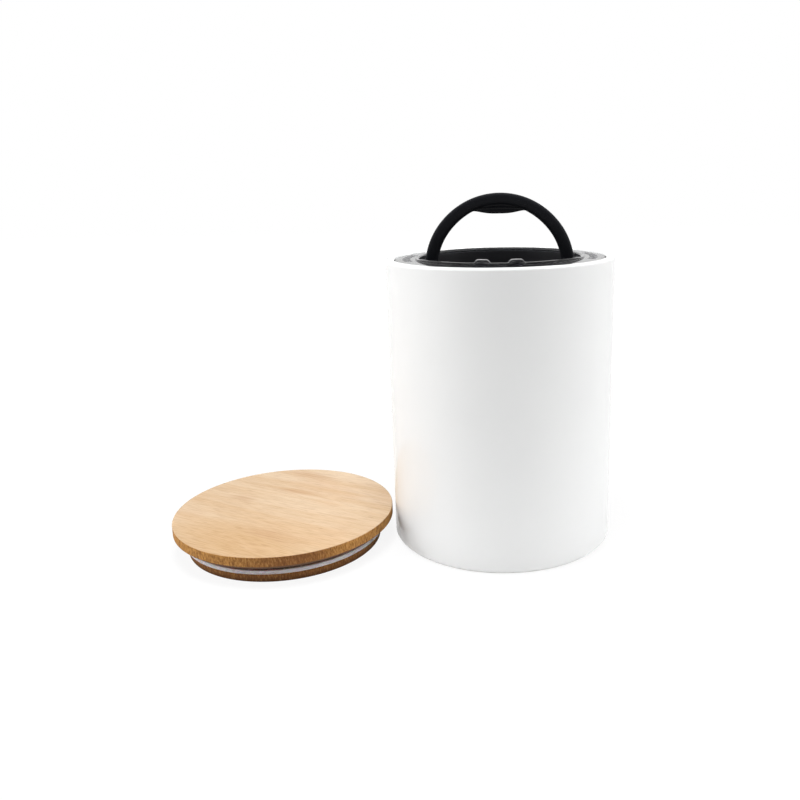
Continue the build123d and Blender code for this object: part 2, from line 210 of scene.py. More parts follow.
# %% World
ROOM_LIGHT = 0.22
FRONT_OF_ROOM = 0.2
FRONT_FULL, FRONT_ENDS = -0.9, -0.05
PLAIN_WHITE = (1, 1, 1, 1)


def direct_rays(tree):
    """The Light Path node, and 1 on camera, glossy and transmission rays: the greatest of the three."""
    path = node(tree, "ShaderNodeLightPath")
    seen = combine(tree, "MAXIMUM", path.outputs["Is Camera Ray"], path.outputs["Is Glossy Ray"])
    return path, combine(tree, "MAXIMUM", seen, path.outputs["Is Transmission Ray"])


def show_mix(tree, share, one, two, end):
    """Ends a tree with shader one where share is 0 and shader two where it is 1."""
    mix = node(tree, "ShaderNodeMixShader")
    for source, socket in zip((share, one.outputs[0], two.outputs[0]), mix.inputs):
        link(tree, source, socket)
    link(tree, mix.outputs[0], node(tree, end).inputs["Surface"])


world = bpy.data.worlds.new("white_room")
bpy.context.scene.world = world
world.use_nodes = True
world_tree = world.node_tree
world_tree.nodes.clear()
path, direct = direct_rays(world_tree)
room = node(world_tree, "ShaderNodeBackground", Color=PLAIN_WHITE, Strength=ROOM_LIGHT)
backdrop = node(world_tree, "ShaderNodeBackground", Color=PLAIN_WHITE)
toward = split(world_tree, node(world_tree, "ShaderNodeTexCoord").outputs["Generated"])["Y"]
mirrored_room = remap(world_tree, toward, FRONT_FULL, FRONT_ENDS, FRONT_OF_ROOM, 1.0, smooth=True)
whiteness = combine(world_tree, "MAXIMUM", mirrored_room, path.outputs["Is Camera Ray"])
link(world_tree, whiteness, backdrop.inputs["Strength"])
show_mix(world_tree, direct, room, backdrop, "ShaderNodeOutputWorld")
bpy.context.scene.view_settings.view_transform = "Standard"
print(f"room: {ROOM_LIGHT} on matt surfaces, {FRONT_OF_ROOM} to 1 in reflections")

# %% [markdown]
# ## A surface from a grid of points
# Every new piece is a grid: one direction runs along a profile, the other round the piece. The
# points of the whole grid are worked out as one array, and the faces join each point to its
# neighbours. Where a row shrinks to one point, or the grid meets itself, the doubles are merged,
# and then the normals are turned outwards.

# %% Grid to mesh
MERGE_DISTANCE = 0.0005 * MM


def grid_faces(rows, columns, rows_closed, first):
    """Four corner numbers for each cell of a grid whose points are numbered row by row. Each row
    closes on itself, and if rows_closed the last row joins the first one."""
    number = first + np.arange(rows * columns).reshape(rows, columns)
    if rows_closed:
        number = np.vstack([number, number[:1]])
    number = np.hstack([number, number[:, :1]])
    cells = [number[:-1, :-1], number[1:, :-1], number[1:, 1:], number[:-1, 1:]]
    return np.stack(cells, axis=-1).reshape(-1, 4)


def add_piece(name, grids, material, body, rows_closed=False):
    """A piece made of one or more grids (rows x columns x 3), riding on a body. If rows_closed, the
    last row of each grid joins its first."""
    points, faces, first = [], [], 0
    for grid in grids:
        rows, columns = grid.shape[:2]
        points.append(grid.reshape(-1, 3))
        faces.append(grid_faces(rows, columns, rows_closed, first))
        first += rows * columns
    mesh = bpy.data.meshes.new(name)
    mesh.from_pydata(np.concatenate(points).tolist(), [], np.concatenate(faces).tolist())
    cleaned = bmesh.new()
    cleaned.from_mesh(mesh)
    bmesh.ops.remove_doubles(cleaned, verts=cleaned.verts, dist=MERGE_DISTANCE)
    bmesh.ops.recalc_face_normals(cleaned, faces=cleaned.faces)
    cleaned.to_mesh(mesh)
    cleaned.free()
    mesh.polygons.foreach_set("use_smooth", np.ones(len(mesh.polygons), dtype=bool))
    mesh.materials.append(material)
    piece = bpy.data.objects.new(name, mesh)
    bpy.context.scene.collection.objects.link(piece)
    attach(piece, body)
    print(f"{name}: {len(mesh.polygons)} faces")
    return piece


# %% [markdown]
# ## Profiles with rounded corners
# Moulded and turned things have no sharp corners: each edge has a small radius that catches a
# line of light. The profile is written as its few corners and a radius for each. The helper
# replaces each corner by an arc that touches both sides, and adds a point just outside each end
# of the arc, which keeps the smooth shading of the flat parts flat.

# %% Rounded profile
def rounded(corners, steps=7, support=0.35 * MM, closed=False):
    """Corners as (x, y, radius). An arc touches both sides at radius / tan(half the inner angle)."""
    corners = np.array(corners, float)
    count = len(corners)
    made = []
    for i, (x, y, radius) in enumerate(corners):
        here = np.array([x, y])
        at_end = not closed and i in (0, count - 1)
        if at_end or radius == 0:
            made.append(here[None])
            continue
        before = corners[i - 1, :2] - here
        after = corners[(i + 1) % count, :2] - here
        reach = min(np.linalg.norm(before), np.linalg.norm(after))
        before, after = before / np.linalg.norm(before), after / np.linalg.norm(after)
        half = np.arccos(np.clip(before @ after, -1, 1)) / 2
        cut = radius / np.tan(half)
        middle = (before + after) / np.linalg.norm(before + after)
        centre = here + middle * radius / np.sin(half)
        start, end = here + before * cut - centre, here + after * cut - centre
        share = np.linspace(0, 1, steps)[:, None]
        sweep = np.pi - 2 * half
        arc = (np.sin((1 - share) * sweep) * start + np.sin(share * sweep) * end) / np.sin(sweep)
        arc += centre
        if reach > 2 * (cut + support):
            arc = np.vstack([here + before * (cut + support), arc, here + after * (cut + support)])
        made.append(arc)
    return np.vstack(made)


# %% [markdown]
# A lathe or a potter's wheel makes most of these pieces, so most surfaces are a profile carried
# round an axis.

# %% Turning
def turned(profile, segments=192, centre=(0, 0), axis="Z"):
    """A profile of (radius, height) carried round an axis: each point goes round at its radius."""
    angle = np.linspace(0, 2 * np.pi, segments, endpoint=False)
    radius, height = profile[:, :1], profile[:, 1:]
    one, two = radius * np.cos(angle), radius * np.sin(angle)
    along = height + 0 * angle
    if axis == "X":
        return np.stack([along, one + centre[0], two + centre[1]], axis=-1)
    return np.stack([one + centre[0], two + centre[1], along], axis=-1)


# %% [markdown]
# ## Finishes
# Each finish is a Principled shader. Colours that change over the surface, bumps and roughness
# come from noise on Object coordinates, so they are the same from every side. A number that is the
# same all over is set on the shader itself.

# %% Helpers for finishes
def new_finish(name, **values):
    """A material with one Principled shader, and its tree, shader and object coordinates."""
    material = bpy.data.materials.new(name)
    material.use_nodes = True
    tree = material.node_tree
    shader = tree.nodes["Principled BSDF"]
    for key, value in values.items():
        shader.inputs[key.replace("_", " ")].default_value = value
    coordinates = node(tree, "ShaderNodeTexCoord").outputs["Object"]
    print("finish:", name)
    return material, tree, shader, coordinates


def stretch(tree, vector, scale=(1, 1, 1), place=(0, 0, 0), turn=0.0):
    """Coordinates moved by place, turned about Z and then scaled."""
    moved = node(tree, "ShaderNodeMapping", vector_type="POINT")
    moved.inputs["Location"].default_value = place
    link(tree, vector, moved.inputs["Vector"])
    shaped = node(tree, "ShaderNodeMapping", vector_type="TEXTURE")
    shaped.inputs["Rotation"].default_value = (0, 0, turn)
    link(tree, moved.outputs[0], shaped.inputs["Vector"])
    scaled = node(tree, "ShaderNodeMapping", vector_type="POINT")
    scaled.inputs["Scale"].default_value = scale
    link(tree, shaped.outputs[0], scaled.inputs["Vector"])
    return scaled.outputs[0]


def noise(tree, vector, scale, detail=2.0, roughness=0.5):
    """Noise with this many lumps to the metre."""
    made = node(tree, "ShaderNodeTexNoise", Scale=scale, Detail=detail, Roughness=roughness)
    link(tree, vector, made.inputs["Vector"])
    return made.outputs["Fac"]


def blend_colours(tree, share, one, two):
    """One colour where share is 0 and the other where it is 1; each is three numbers or a socket."""
    made = node(tree, "ShaderNodeMix", data_type="RGBA")
    link(tree, share, made.inputs["Factor"])
    for socket, colour in ((made.inputs["A"], one), (made.inputs["B"], two)):
        if isinstance(colour, tuple):
            socket.default_value = (*colour, 1)
        else:
            link(tree, colour, socket)
    return made.outputs["Result"]


def bump(tree, shader, height, distance, strength=1.0, below=None):
    """A bump of this height in metres on the shader's normal, over another bump if one is given."""
    made = node(tree, "ShaderNodeBump", Strength=strength, Distance=distance)
    link(tree, height, made.inputs["Height"])
    if below is not None:
        link(tree, below.outputs["Normal"], made.inputs["Normal"])
    link(tree, made.outputs["Normal"], shader.inputs["Normal"])
    return made


# %% [markdown]
# ### Glaze
# Stoneware glaze is a hard, clear skin over a white body. It is never quite even: it has a faint
# orange peel and a few soft waves that make reflections swim. The foot ring is wiped clean before
# firing, so that it doesn't stick to the kiln shelf, and shows bare clay. That clay is painted darker,
# and reaches a little higher than the wiped ring, as painted shade where the canister meets the
# table. A clear coat over a white base could make the glaze too. Here glaze and body are both white,
# so one shader with a low, slightly uneven roughness is enough.

# %% Glaze
WIPED_AND_SHADED_TO, GLAZED_FROM = 0.7 * MM, 1.3 * MM
GLAZE_WHITE, GLAZE_GREYER = (0.905, 0.91, 0.905), (0.87, 0.875, 0.875)
CLAY_AND_SHADE_PALE, CLAY_AND_SHADE_DARK = (0.44, 0.405, 0.36), (0.34, 0.31, 0.28)
CLAY_ROUGHNESS, GLAZE_ROUGHNESS = 0.85, 0.1


def make_glaze():
    """White glaze with soft waves and a fine orange peel, and bare clay on the foot, darkened as painted
    shade.
    """
    material, tree, shader, place = new_finish("glaze", IOR=1.5, Specular_IOR_Level=0.38)
    white = blend_colours(tree, noise(tree, place, 22.0, 3.0), GLAZE_WHITE, GLAZE_GREYER)
    # Painted shade: the bare clay colours are darkened where the canister meets the table.
    clay = blend_colours(tree, noise(tree, place, 1500.0, 3.0), CLAY_AND_SHADE_PALE, CLAY_AND_SHADE_DARK)
    glazed = remap(tree, split(tree, place)["Z"], WIPED_AND_SHADED_TO, GLAZED_FROM)
    link(tree, blend_colours(tree, glazed, clay, white), shader.inputs["Base Color"])
    rough = remap(tree, glazed, 0.0, 1.0, CLAY_ROUGHNESS, GLAZE_ROUGHNESS)
    uneven = remap(tree, noise(tree, place, 60.0), 0.3, 0.7, -0.03, 0.03)
    link(tree, combine(tree, "ADD", rough, uneven), shader.inputs["Roughness"])
    waves = bump(tree, shader, noise(tree, place, 45.0, 1.0), 0.25 * MM, 0.35)
    bump(tree, shader, noise(tree, place, 700.0, 2.0), 0.012 * MM, 0.6, below=waves)
    return material


glaze = make_glaze()

# %% [markdown]
# ### Smoke-grey plastic
# The plunger is moulded from a tinted clear plastic. The thin flange at its top lets light through,
# is polished and mirrors the room at a low angle. The lip round the well gets a darker colour, as
# painted shade for the dark well behind it. Inside the well the plastic is slightly frosted and has
# nothing bright behind it, so it stays dark. The height alone tells these zones apart. The two catch
# tabs are as clear as the flange, so they get the same plastic without the lip's painted shade.

# %% Smoke plastic
CLEAR_FROM, CLEAR_FULL = canister_height - 1.5 * MM, canister_height - 0.9 * MM
LIP_FROM, LIP_FULL = canister_height - 0.6 * MM, canister_height - 0.1 * MM
WELL_SMOKE, WELL_SMOKE_PALER = (0.010, 0.010, 0.012), (0.018, 0.018, 0.021)
FLANGE_SMOKE, FLANGE_SMOKE_PALER = (0.27, 0.27, 0.30), (0.33, 0.33, 0.36)
LIP_SHADE_SMOKE = (0.08, 0.08, 0.095)
SHELL_LIP_SHADE = 0.75
FROSTED_ROUGHNESS, POLISHED_ROUGHNESS = 0.32, 0.08


def make_smoke_plastic(name, lip_shade_strength):
    """Dark tinted plastic: frosted in the well, clear on the flange, and painted darker on the lip as shade.
    """
    material, tree, shader, place = new_finish(name, IOR=1.5, Specular_IOR_Level=0.9)
    height = split(tree, place)["Z"]
    thin = remap(tree, height, CLEAR_FROM, CLEAR_FULL)
    # Painted shade: the lip's colour is darkened for the dark well behind it.
    lip_shade_mask = remap(tree, height, LIP_FROM, LIP_FULL, 0.0, lip_shade_strength)
    cloud = noise(tree, place, 120.0, 3.0)
    dark = blend_colours(tree, cloud, WELL_SMOKE, WELL_SMOKE_PALER)
    clear = blend_colours(tree, cloud, FLANGE_SMOKE, FLANGE_SMOKE_PALER)
    clear = blend_colours(tree, lip_shade_mask, clear, LIP_SHADE_SMOKE)
    link(tree, blend_colours(tree, thin, dark, clear), shader.inputs["Base Color"])
    link(tree, combine(tree, "MULTIPLY", thin, 0.97), shader.inputs["Transmission Weight"])
    rough = remap(tree, thin, 0.0, 1.0, FROSTED_ROUGHNESS, POLISHED_ROUGHNESS)
    speckle = remap(tree, noise(tree, place, 900.0, 2.0), 0.4, 0.7, -0.03, 0.05)
    link(tree, combine(tree, "ADD", rough, speckle), shader.inputs["Roughness"])
    frosting = remap(tree, thin, 0.0, 1.0, 1.0, 0.05)
    grain = combine(tree, "MULTIPLY", noise(tree, place, 1400.0, 2.0), frosting)
    bump(tree, shader, grain, 0.01 * MM, 0.5)
    return material


smoke_plastic = make_smoke_plastic("smoke_plastic", SHELL_LIP_SHADE)
clear_smoke = make_smoke_plastic("clear_smoke", 0.0)

# %% [markdown]
# The raised marks on the flange are left matt by the mould, which scatters the light and makes them
# look paler than the polished plastic round them. A mask in the flange's shader could do it, but
# would need their outlines a second time. A small finish of their own is simpler.

# %% Frosted marks
FROSTED_SMOKE, FROSTED_SMOKE_PALER = (0.15, 0.15, 0.16), (0.26, 0.26, 0.27)


def make_frosted_smoke():
    """The same plastic with a matt, paler skin that lets only some light through."""
    material, tree, shader, place = new_finish("frosted_smoke", IOR=1.5, Transmission_Weight=0.25)
    cloud = noise(tree, place, 400.0, 3.0)
    smoke = blend_colours(tree, cloud, FROSTED_SMOKE, FROSTED_SMOKE_PALER)
    link(tree, smoke, shader.inputs["Base Color"])
    link(tree, remap(tree, cloud, 0.3, 0.7, 0.2, 0.34), shader.inputs["Roughness"])
    bump(tree, shader, noise(tree, place, 1500.0, 2.0), 0.006 * MM, 0.5)
    return material


frosted_smoke = make_frosted_smoke()

# %% [markdown]
# ### Black plastic
# The handle is moulded in black with a fine spark-eroded grain on the legs and shoulders, where
# fingers hold it. The grain fades out towards the crown, which is smooth. The grain could come
# from a picture, but noise needs no unwrapping, and its height is easily multiplied by a share that
# follows the distance from the middle.

# %% Black plastic
CROWN_TO, GRAIN_FROM = 14 * MM, 20 * MM
HANDLE_BLACK, HANDLE_BLACK_PALER = (0.0045, 0.005, 0.007), (0.008, 0.0085, 0.0105)


def make_black_plastic(name, grain_height, rough_low, rough_high):
    """Black plastic with a fine grain on the legs that fades out over the crown."""
    material, tree, shader, place = new_finish(name, IOR=1.46, Specular_IOR_Level=0.2)
    black = blend_colours(tree, noise(tree, place, 220.0, 2.0), HANDLE_BLACK, HANDLE_BLACK_PALER)
    link(tree, black, shader.inputs["Base Color"])
    grain = noise(tree, place, 2300.0, 2.0, 0.6)
    link(tree, remap(tree, grain, 0.3, 0.7, rough_low, rough_high), shader.inputs["Roughness"])
    sideways = combine(tree, "ABSOLUTE", split(tree, place)["X"])
    leg = remap(tree, sideways, CROWN_TO, GRAIN_FROM, 0.12, 1.0, smooth=True)
    bump(tree, shader, combine(tree, "MULTIPLY", grain, leg), grain_height, 0.8)
    return material


grained_black = make_black_plastic("grained_black", 0.07 * MM, 0.5, 0.68)
smooth_black = make_black_plastic("smooth_black", 0.015 * MM, 0.24, 0.34)

# %% [markdown]
# ### Black silicone
# The wiper seal and the valve's plug and seat are black silicone, matt and a little dusty. Dust
# could be scattered as grains. One noise is enough at this size: where it is high, the black is
# paler, rougher and a little raised.

# %% Black silicone
SILICONE_BLACK, SILICONE_DUST = (0.012, 0.012, 0.012), (0.05, 0.05, 0.048)


def make_black_silicone():
    """Matt black silicone with a soft bloom of dust."""
    material, tree, shader, place = new_finish("black_silicone", IOR=1.41)
    dust = noise(tree, place, 350.0, 4.0, 0.65)
    black = blend_colours(tree, remap(tree, dust, 0.45, 0.8), SILICONE_BLACK, SILICONE_DUST)
    link(tree, black, shader.inputs["Base Color"])
    link(tree, remap(tree, dust, 0.3, 0.7, 0.5, 0.7), shader.inputs["Roughness"])
    bump(tree, shader, dust, 0.02 * MM, 0.4)
    return material


black_silicone = make_black_silicone()

# %% [markdown]
# ### Clear silicone
# The bamboo lid's ring is clear silicone: milky, because light wanders a little inside it before it
# comes out. It lies in a groove of the plug. Its upper edge is tucked in under the groove's upper
# side, in the plate's shade, and a dark line is painted there as that shade, brown like the wood
# behind it. Real refraction with a cloudy volume could make the milky look, but takes many samples.
# A little scattering under the surface is the simple way.

# %% Clear silicone
GROOVE_FOOT, GROOVE_TOP = 5.3 * MM, 8.5 * MM
TUCKED_FROM, TUCKED_FULL = GROOVE_TOP - 0.55 * MM, GROOVE_TOP - 0.35 * MM
MILKY, MILKY_PALER = (0.95, 0.92, 0.935), (0.99, 0.96, 0.975)
PLATE_SHADE_BROWN = (0.10, 0.05, 0.02)


def make_clear_silicone():
    """Milky clear silicone with a faint cloud in it, and a painted brown shade along its upper edge."""
    material, tree, shader, place = new_finish(
        "clear_silicone", IOR=1.5, Specular_IOR_Level=1.0,
        Transmission_Weight=0.02, Subsurface_Weight=0.2, Subsurface_Scale=2 * MM,
    )
    cloud = noise(tree, place, 260.0, 3.0)
    # Painted shade: the ring's top turns dark brown under the plate's overhang.
    tucked = remap(tree, split(tree, place)["Z"], TUCKED_FROM, TUCKED_FULL, 0.0, 0.9)
    milky = blend_colours(tree, cloud, MILKY, MILKY_PALER)
    link(tree, blend_colours(tree, tucked, milky, PLATE_SHADE_BROWN), shader.inputs["Base Color"])
    link(tree, remap(tree, cloud, 0.3, 0.7, 0.2, 0.32), shader.inputs["Roughness"])
    bump(tree, shader, noise(tree, place, 1200.0), 0.01 * MM, 0.4)
    return material


clear_silicone = make_clear_silicone()

# %% [markdown]
# ### Steel
# The valve's small parts are turned or drawn steel. Fine rings from the tool run round them. An
# anisotropic shader could show them, but needs a tangent that fits each piece. Noise that is
# squeezed along the height gives such rings on any upright one.

# %% Steel
STEEL_DARK, STEEL_BRIGHT = (0.50, 0.50, 0.50), (0.64, 0.64, 0.63)


def make_steel():
    """Drawn steel with fine lines across its length and a faint change of tone."""
    material, tree, shader, place = new_finish("steel", Metallic=1.0)
    lines = noise(tree, stretch(tree, place, (1, 1, 12)), 900.0, 3.0)
    link(tree, blend_colours(tree, lines, STEEL_DARK, STEEL_BRIGHT), shader.inputs["Base Color"])
    link(tree, remap(tree, lines, 0.3, 0.7, 0.2, 0.38), shader.inputs["Roughness"])
    bump(tree, shader, lines, 0.01 * MM, 0.4)
    return material


steel = make_steel()

# %% [markdown]
# ### Bamboo
# The lid is turned from a board of glued bamboo strips. Each strip has its own tone, fine dark
# fibres run along it, and here and there a joint of the cane crosses one strip as a darker bar
# with a few short flecks. A wide warm patch lies over several strips, and a wide pale patch on the
# right of the top is a painted sheen. All of this is worked out in three dimensions, turned to the
# grain, so the rim shows the same fibres as streaks or as end-grain dots, as on a real turned lid.
# A patch is an oval along the grain, written as its middle, half length and half width in
# millimetres from the middle of the lid.

# %% Places on the bamboo
lid_low, lid_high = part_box("bamboo_lid")
lid_centre = ((lid_low.x + lid_high.x) / 2, (lid_low.y + lid_high.y) / 2)
lid_radius = (lid_high.x - lid_low.x) / 2
lid_height = lid_high.z
GRAIN_TURN = radians(-23)
STRIP_WIDTH = 6.6 * MM
PLATE_FOOT = lid_height - 7.8 * MM
KNOTS = [(-36, 2, 17, 7), (-18, 54, 26, 8), (18, -36, 30, 8), (44, 2, 20, 3), (-8, 26, 30, 4)]
WARM_PATCH = (6, -52, 88, 40)
# The pale patch is a painted sheen, where the top mirrors the white room.
PAINTED_SHEEN_PATCH = (22, 44, 74, 48)
DARK_SIDE = (47, -51, 58, 32)


def soft_spot(tree, vector, x, y, length, width):
    """1 at a place on the lid's top, fading to 0 over an oval that lies along the grain."""
    made = node(tree, "ShaderNodeMapping", vector_type="TEXTURE")
    made.inputs["Location"].default_value = (x * MM, y * MM, lid_height)
    made.inputs["Scale"].default_value = (length * MM, width * MM, lid_height)
    link(tree, vector, made.inputs["Vector"])
    away = node(tree, "ShaderNodeVectorMath", operation="LENGTH")
    link(tree, made.outputs[0], away.inputs[0])
    return remap(tree, away.outputs["Value"], 0.1, 1.0, 1.0, 0.0, smooth=True)


def layered(tree, colour, layers):
    """A colour with others laid over it in turn; each layer is its share and its colour."""
    for share, over in layers:
        colour = blend_colours(tree, share, colour, over)
    return colour


# %% [markdown]
# The face of the board is built like a painter's picture: the tone of each strip first, then the
# patches, streaks and clouds, then the fibres and hairs, and the knots and flecks last.

# %% The face of the board
STRIP_DARK, STRIP_PALE = (0.60, 0.425, 0.262), (0.665, 0.495, 0.325)
WARM_TONE, PAINTED_SHEEN_TONE = (0.475, 0.262, 0.086), (0.70, 0.555, 0.405)
STREAK_TONE, CLOUD_TONE = (0.55, 0.345, 0.175), (0.55, 0.335, 0.175)
FIBRE_TONE, PALE_HAIR, DARK_HAIR = (0.46, 0.27, 0.13), (0.78, 0.60, 0.40), (0.40, 0.23, 0.11)
KNOT_TONE, FLECK_TONE = (0.43, 0.225, 0.095), (0.34, 0.17, 0.08)


def board_face(tree, centred, fibres, streaks):
    """The board's colours. A strip's number is its place across the grain over its width, rounded
    down, and gives it a tone; everything else is noise that is long with the grain."""
    strip = combine(tree, "FLOOR", combine(tree, "DIVIDE", split(tree, centred)["Y"], STRIP_WIDTH))
    tone = node(tree, "ShaderNodeTexWhiteNoise", noise_dimensions="1D")
    link(tree, strip, tone.inputs["W"])
    clouds = noise(tree, stretch(tree, centred, (16, 34, 34)), 1.0, 2.0)
    hairs = noise(tree, stretch(tree, centred, (90, 1700, 900)), 1.0, 2.0, 0.6)
    flecks = noise(tree, stretch(tree, centred, (110, 1100, 700)), 1.0, 1.0)
    knot = soft_spot(tree, centred, *KNOTS[0])
    for other in KNOTS[1:]:
        knot = combine(tree, "MAXIMUM", knot, soft_spot(tree, centred, *other))
    knotted = combine(tree, "MULTIPLY", knot, remap(tree, fibres, 0.3, 0.7, 0.1, 0.6))
    warm = combine(tree, "MULTIPLY", soft_spot(tree, centred, *WARM_PATCH), 0.95)
    # Painted sheen: a pale patch on the right of the top.
    pale = combine(tree, "MULTIPLY", soft_spot(tree, centred, *PAINTED_SHEEN_PATCH), 0.75)
    strips = blend_colours(tree, tone.outputs["Value"], STRIP_DARK, STRIP_PALE)
    return layered(tree, strips, [
        (warm, WARM_TONE),
        (pale, PAINTED_SHEEN_TONE),
        (remap(tree, streaks, 0.42, 0.68, 0.0, 0.75), STREAK_TONE),
        (remap(tree, clouds, 0.5, 0.75, 0.0, 0.6, smooth=True), CLOUD_TONE),
        (remap(tree, fibres, 0.48, 0.75, 0.0, 0.4), FIBRE_TONE),
        (remap(tree, hairs, 0.35, 0.7, 0.32, 0.0), PALE_HAIR),
        (remap(tree, hairs, 0.5, 0.75, 0.0, 0.5), DARK_HAIR),
        (knotted, KNOT_TONE),
        (remap(tree, flecks, 0.71, 0.78, 0.0, 0.5), FLECK_TONE),
    ])


# %% [markdown]
# Cut edges drink in more oil and are darker than the top, and one stretch of the rim is darker
# still. The plug is browner, and a painted shadow darkens it near the table. Between the ring and the
# plate, and on the plate's underside, hardly any light arrives, and a dark brown is painted there as
# shade. The undersides show the strips again, since they were cut along the fibres, under a painted
# shade of brown.

# %% The cut edges
RIM_GOLD, RIM_BURNT = (0.48, 0.232, 0.058), (0.235, 0.094, 0.025)
# The plug's foot brown, the undersides' brown and the neck's brown are painted shadow and shade.
PLUG_BROWN, TABLE_SHADOW_BROWN = (0.215, 0.085, 0.024), (0.05, 0.018, 0.004)
DARK_PORE, PALE_PORE = (0.12, 0.04, 0.009), (0.62, 0.36, 0.13)
UNDERSIDE_SHADE_BROWN, PAINTED_NECK_SHADE = (0.17, 0.075, 0.022), (0.06, 0.022, 0.008)
TABLE_SHADOW_FROM, TABLE_SHADOW_TO = 0.3 * MM, 3.2 * MM


def cut_edges(tree, centred, height, upward, fibres, pores, face):
    """Gold rim with pores, brown plug, and painted shadow and shade: near the table, on undersides,
    and in the neck under the plate. Heights tell the zones apart, and the normal's Z tells sides from
    undersides."""
    facing_down = remap(tree, upward, -0.9, -0.5, 1.0, 0.0)
    on_plug = remap(tree, height, GROOVE_FOOT - 0.2 * MM, GROOVE_FOOT + 0.8 * MM, 0.85, 0.0)
    # Painted shadow: the plug darkens towards the table.
    table_shadow_share = remap(tree, height, TABLE_SHADOW_FROM, TABLE_SHADOW_TO, 0.8, 0.0)
    # Painted shade: the plate's bevel and underside, and the neck under it, are darkened in colour.
    leaning_down = remap(tree, upward, -0.6, -0.2, 1.0, 0.0)
    high = remap(tree, height, PLATE_FOOT - 1.8 * MM, PLATE_FOOT - 1.2 * MM, 0.0, 0.8)
    above_groove = remap(tree, height, GROOVE_TOP - 0.6 * MM, GROOVE_TOP - 0.2 * MM, 0.0, 0.95)
    below_plate = remap(tree, height, PLATE_FOOT - 0.1 * MM, PLATE_FOOT + 0.1 * MM, 1.0, 0.0)
    neck = combine(tree, "MULTIPLY", above_groove, below_plate)
    neck = combine(tree, "MULTIPLY", neck, combine(tree, "SUBTRACT", 1.0, facing_down))
    shaded = combine(tree, "MAXIMUM", combine(tree, "MULTIPLY", leaning_down, high), neck)
    # Painted shade: undersides are the face's strips darkened towards brown.
    shaded_underside = blend_colours(tree, remap(tree, fibres, 0.3, 0.7, 0.25, 0.65), face, UNDERSIDE_SHADE_BROWN)
    rim = blend_colours(tree, soft_spot(tree, centred, *DARK_SIDE), RIM_GOLD, RIM_BURNT)
    return layered(tree, rim, [
        (on_plug, PLUG_BROWN),
        (table_shadow_share, TABLE_SHADOW_BROWN),
        (remap(tree, pores, 0.42, 0.66, 0.0, 0.8), DARK_PORE),
        (remap(tree, pores, 0.3, 0.45, 0.3, 0.0), PALE_PORE),
        (facing_down, shaded_underside),
        (shaded, PAINTED_NECK_SHADE),
    ])


# %% [markdown]
# The face and the edges come together by the direction that the surface faces. The face is sanded
# and has a soft sheen. The edges are left matt by the tool.

# %% Bamboo
def make_bamboo():
    """Glued bamboo strips on the face, cut fibres on everything that doesn't face up."""
    material, tree, shader, place = new_finish("bamboo", IOR=1.5, Specular_IOR_Level=0.5)
    centred = stretch(tree, place, place=(-lid_centre[0], -lid_centre[1], 0), turn=GRAIN_TURN)
    fibres = noise(tree, stretch(tree, centred, (14, 620, 260)), 1.0, 3.0, 0.6)
    streaks = noise(tree, stretch(tree, centred, (8, 90, 90)), 1.0, 2.0)
    pores = noise(tree, stretch(tree, centred, (1100, 1500, 420)), 1.0, 3.0, 0.6)
    height = split(tree, place)["Z"]
    upward = split(tree, node(tree, "ShaderNodeNewGeometry").outputs["Normal"])["Z"]
    edge = remap(tree, upward, 0.35, 0.85, 1.0, 0.0, smooth=True)
    face = board_face(tree, centred, fibres, streaks)
    cut = cut_edges(tree, centred, height, upward, fibres, pores, face)
    link(tree, blend_colours(tree, edge, face, cut), shader.inputs["Base Color"])
    sanded = remap(tree, streaks, 0.3, 0.7, 0.36, 0.5)
    sawn = combine(tree, "MULTIPLY", edge, 0.95)
    link(tree, combine(tree, "MAXIMUM", sanded, sawn), shader.inputs["Roughness"])
    deep = bump(tree, shader, fibres, 0.03 * MM, 0.3)
    bump(tree, shader, pores, 0.03 * MM, 0.25, below=deep)
    return material


bamboo = make_bamboo()
print(f"bamboo: {2 * lid_radius / STRIP_WIDTH:.0f} strips, {len(KNOTS)} knots")

# %% [markdown]
# ## The canister
# The canister is a body of revolution, so one profile carried round the axis makes all of it: foot
# ring, wall, rounded rim, bore and floor. The profile starts and ends on the axis, which closes the
# shell. A slip-cast wall isn't a perfect cylinder, so the radius swims inward by less than a tenth
# of a millimetre as it goes round and up. A Screw modifier could turn the profile as well, but an
# array of points can be moved by a formula before it becomes a mesh.

# %% Canister
FOOT_RING_WIDTH = 9.0 * MM
FOOT_RECESS = 1.6 * MM
FLOOR_THICKNESS = 7.0 * MM
WALL_WANDER = 0.09 * MM
WAVE_PEAK = 1.6
WAVE_REST = 1.2
wall_profile = rounded([
    (0, FOOT_RECESS, 0),
    (canister_radius - FOOT_RING_WIDTH, FOOT_RECESS, 0.6 * MM),
    (canister_radius - FOOT_RING_WIDTH, 0, 0.7 * MM),
    (canister_radius, 0, 3.0 * MM),
    (canister_radius, canister_height / 3, 0),
    (canister_radius, canister_height * 2 / 3, 0),
    (canister_radius, canister_height, 1.8 * MM),
    (bore_radius, canister_height, 1.6 * MM),
    (bore_radius, FLOOR_THICKNESS, 6.0 * MM),
    (0, FLOOR_THICKNESS, 0),
], steps=10)


def wandering(grid, amount):
    """Radius drawn in by amount x (wave + peak + rest) / (2 peak + rest), where the wave is the sum
    of two sines round the axis that turn as they climb and reaches the peak at most."""
    angle = np.arctan2(grid[..., 1], grid[..., 0])
    height = grid[..., 2] / canister_height
    wave = np.sin(2 * angle + 1.1 + 1.7 * height) + 0.6 * np.sin(3 * angle - 4.0 * height + 0.4)
    drawn = amount * (wave + WAVE_PEAK + WAVE_REST) / (2 * WAVE_PEAK + WAVE_REST)
    shaped = grid.copy()
    shaped[..., :2] *= (1 - drawn / canister_radius)[..., None]
    print(f"wall wanders by {1000 * drawn.max():.3f} mm")
    return shaped


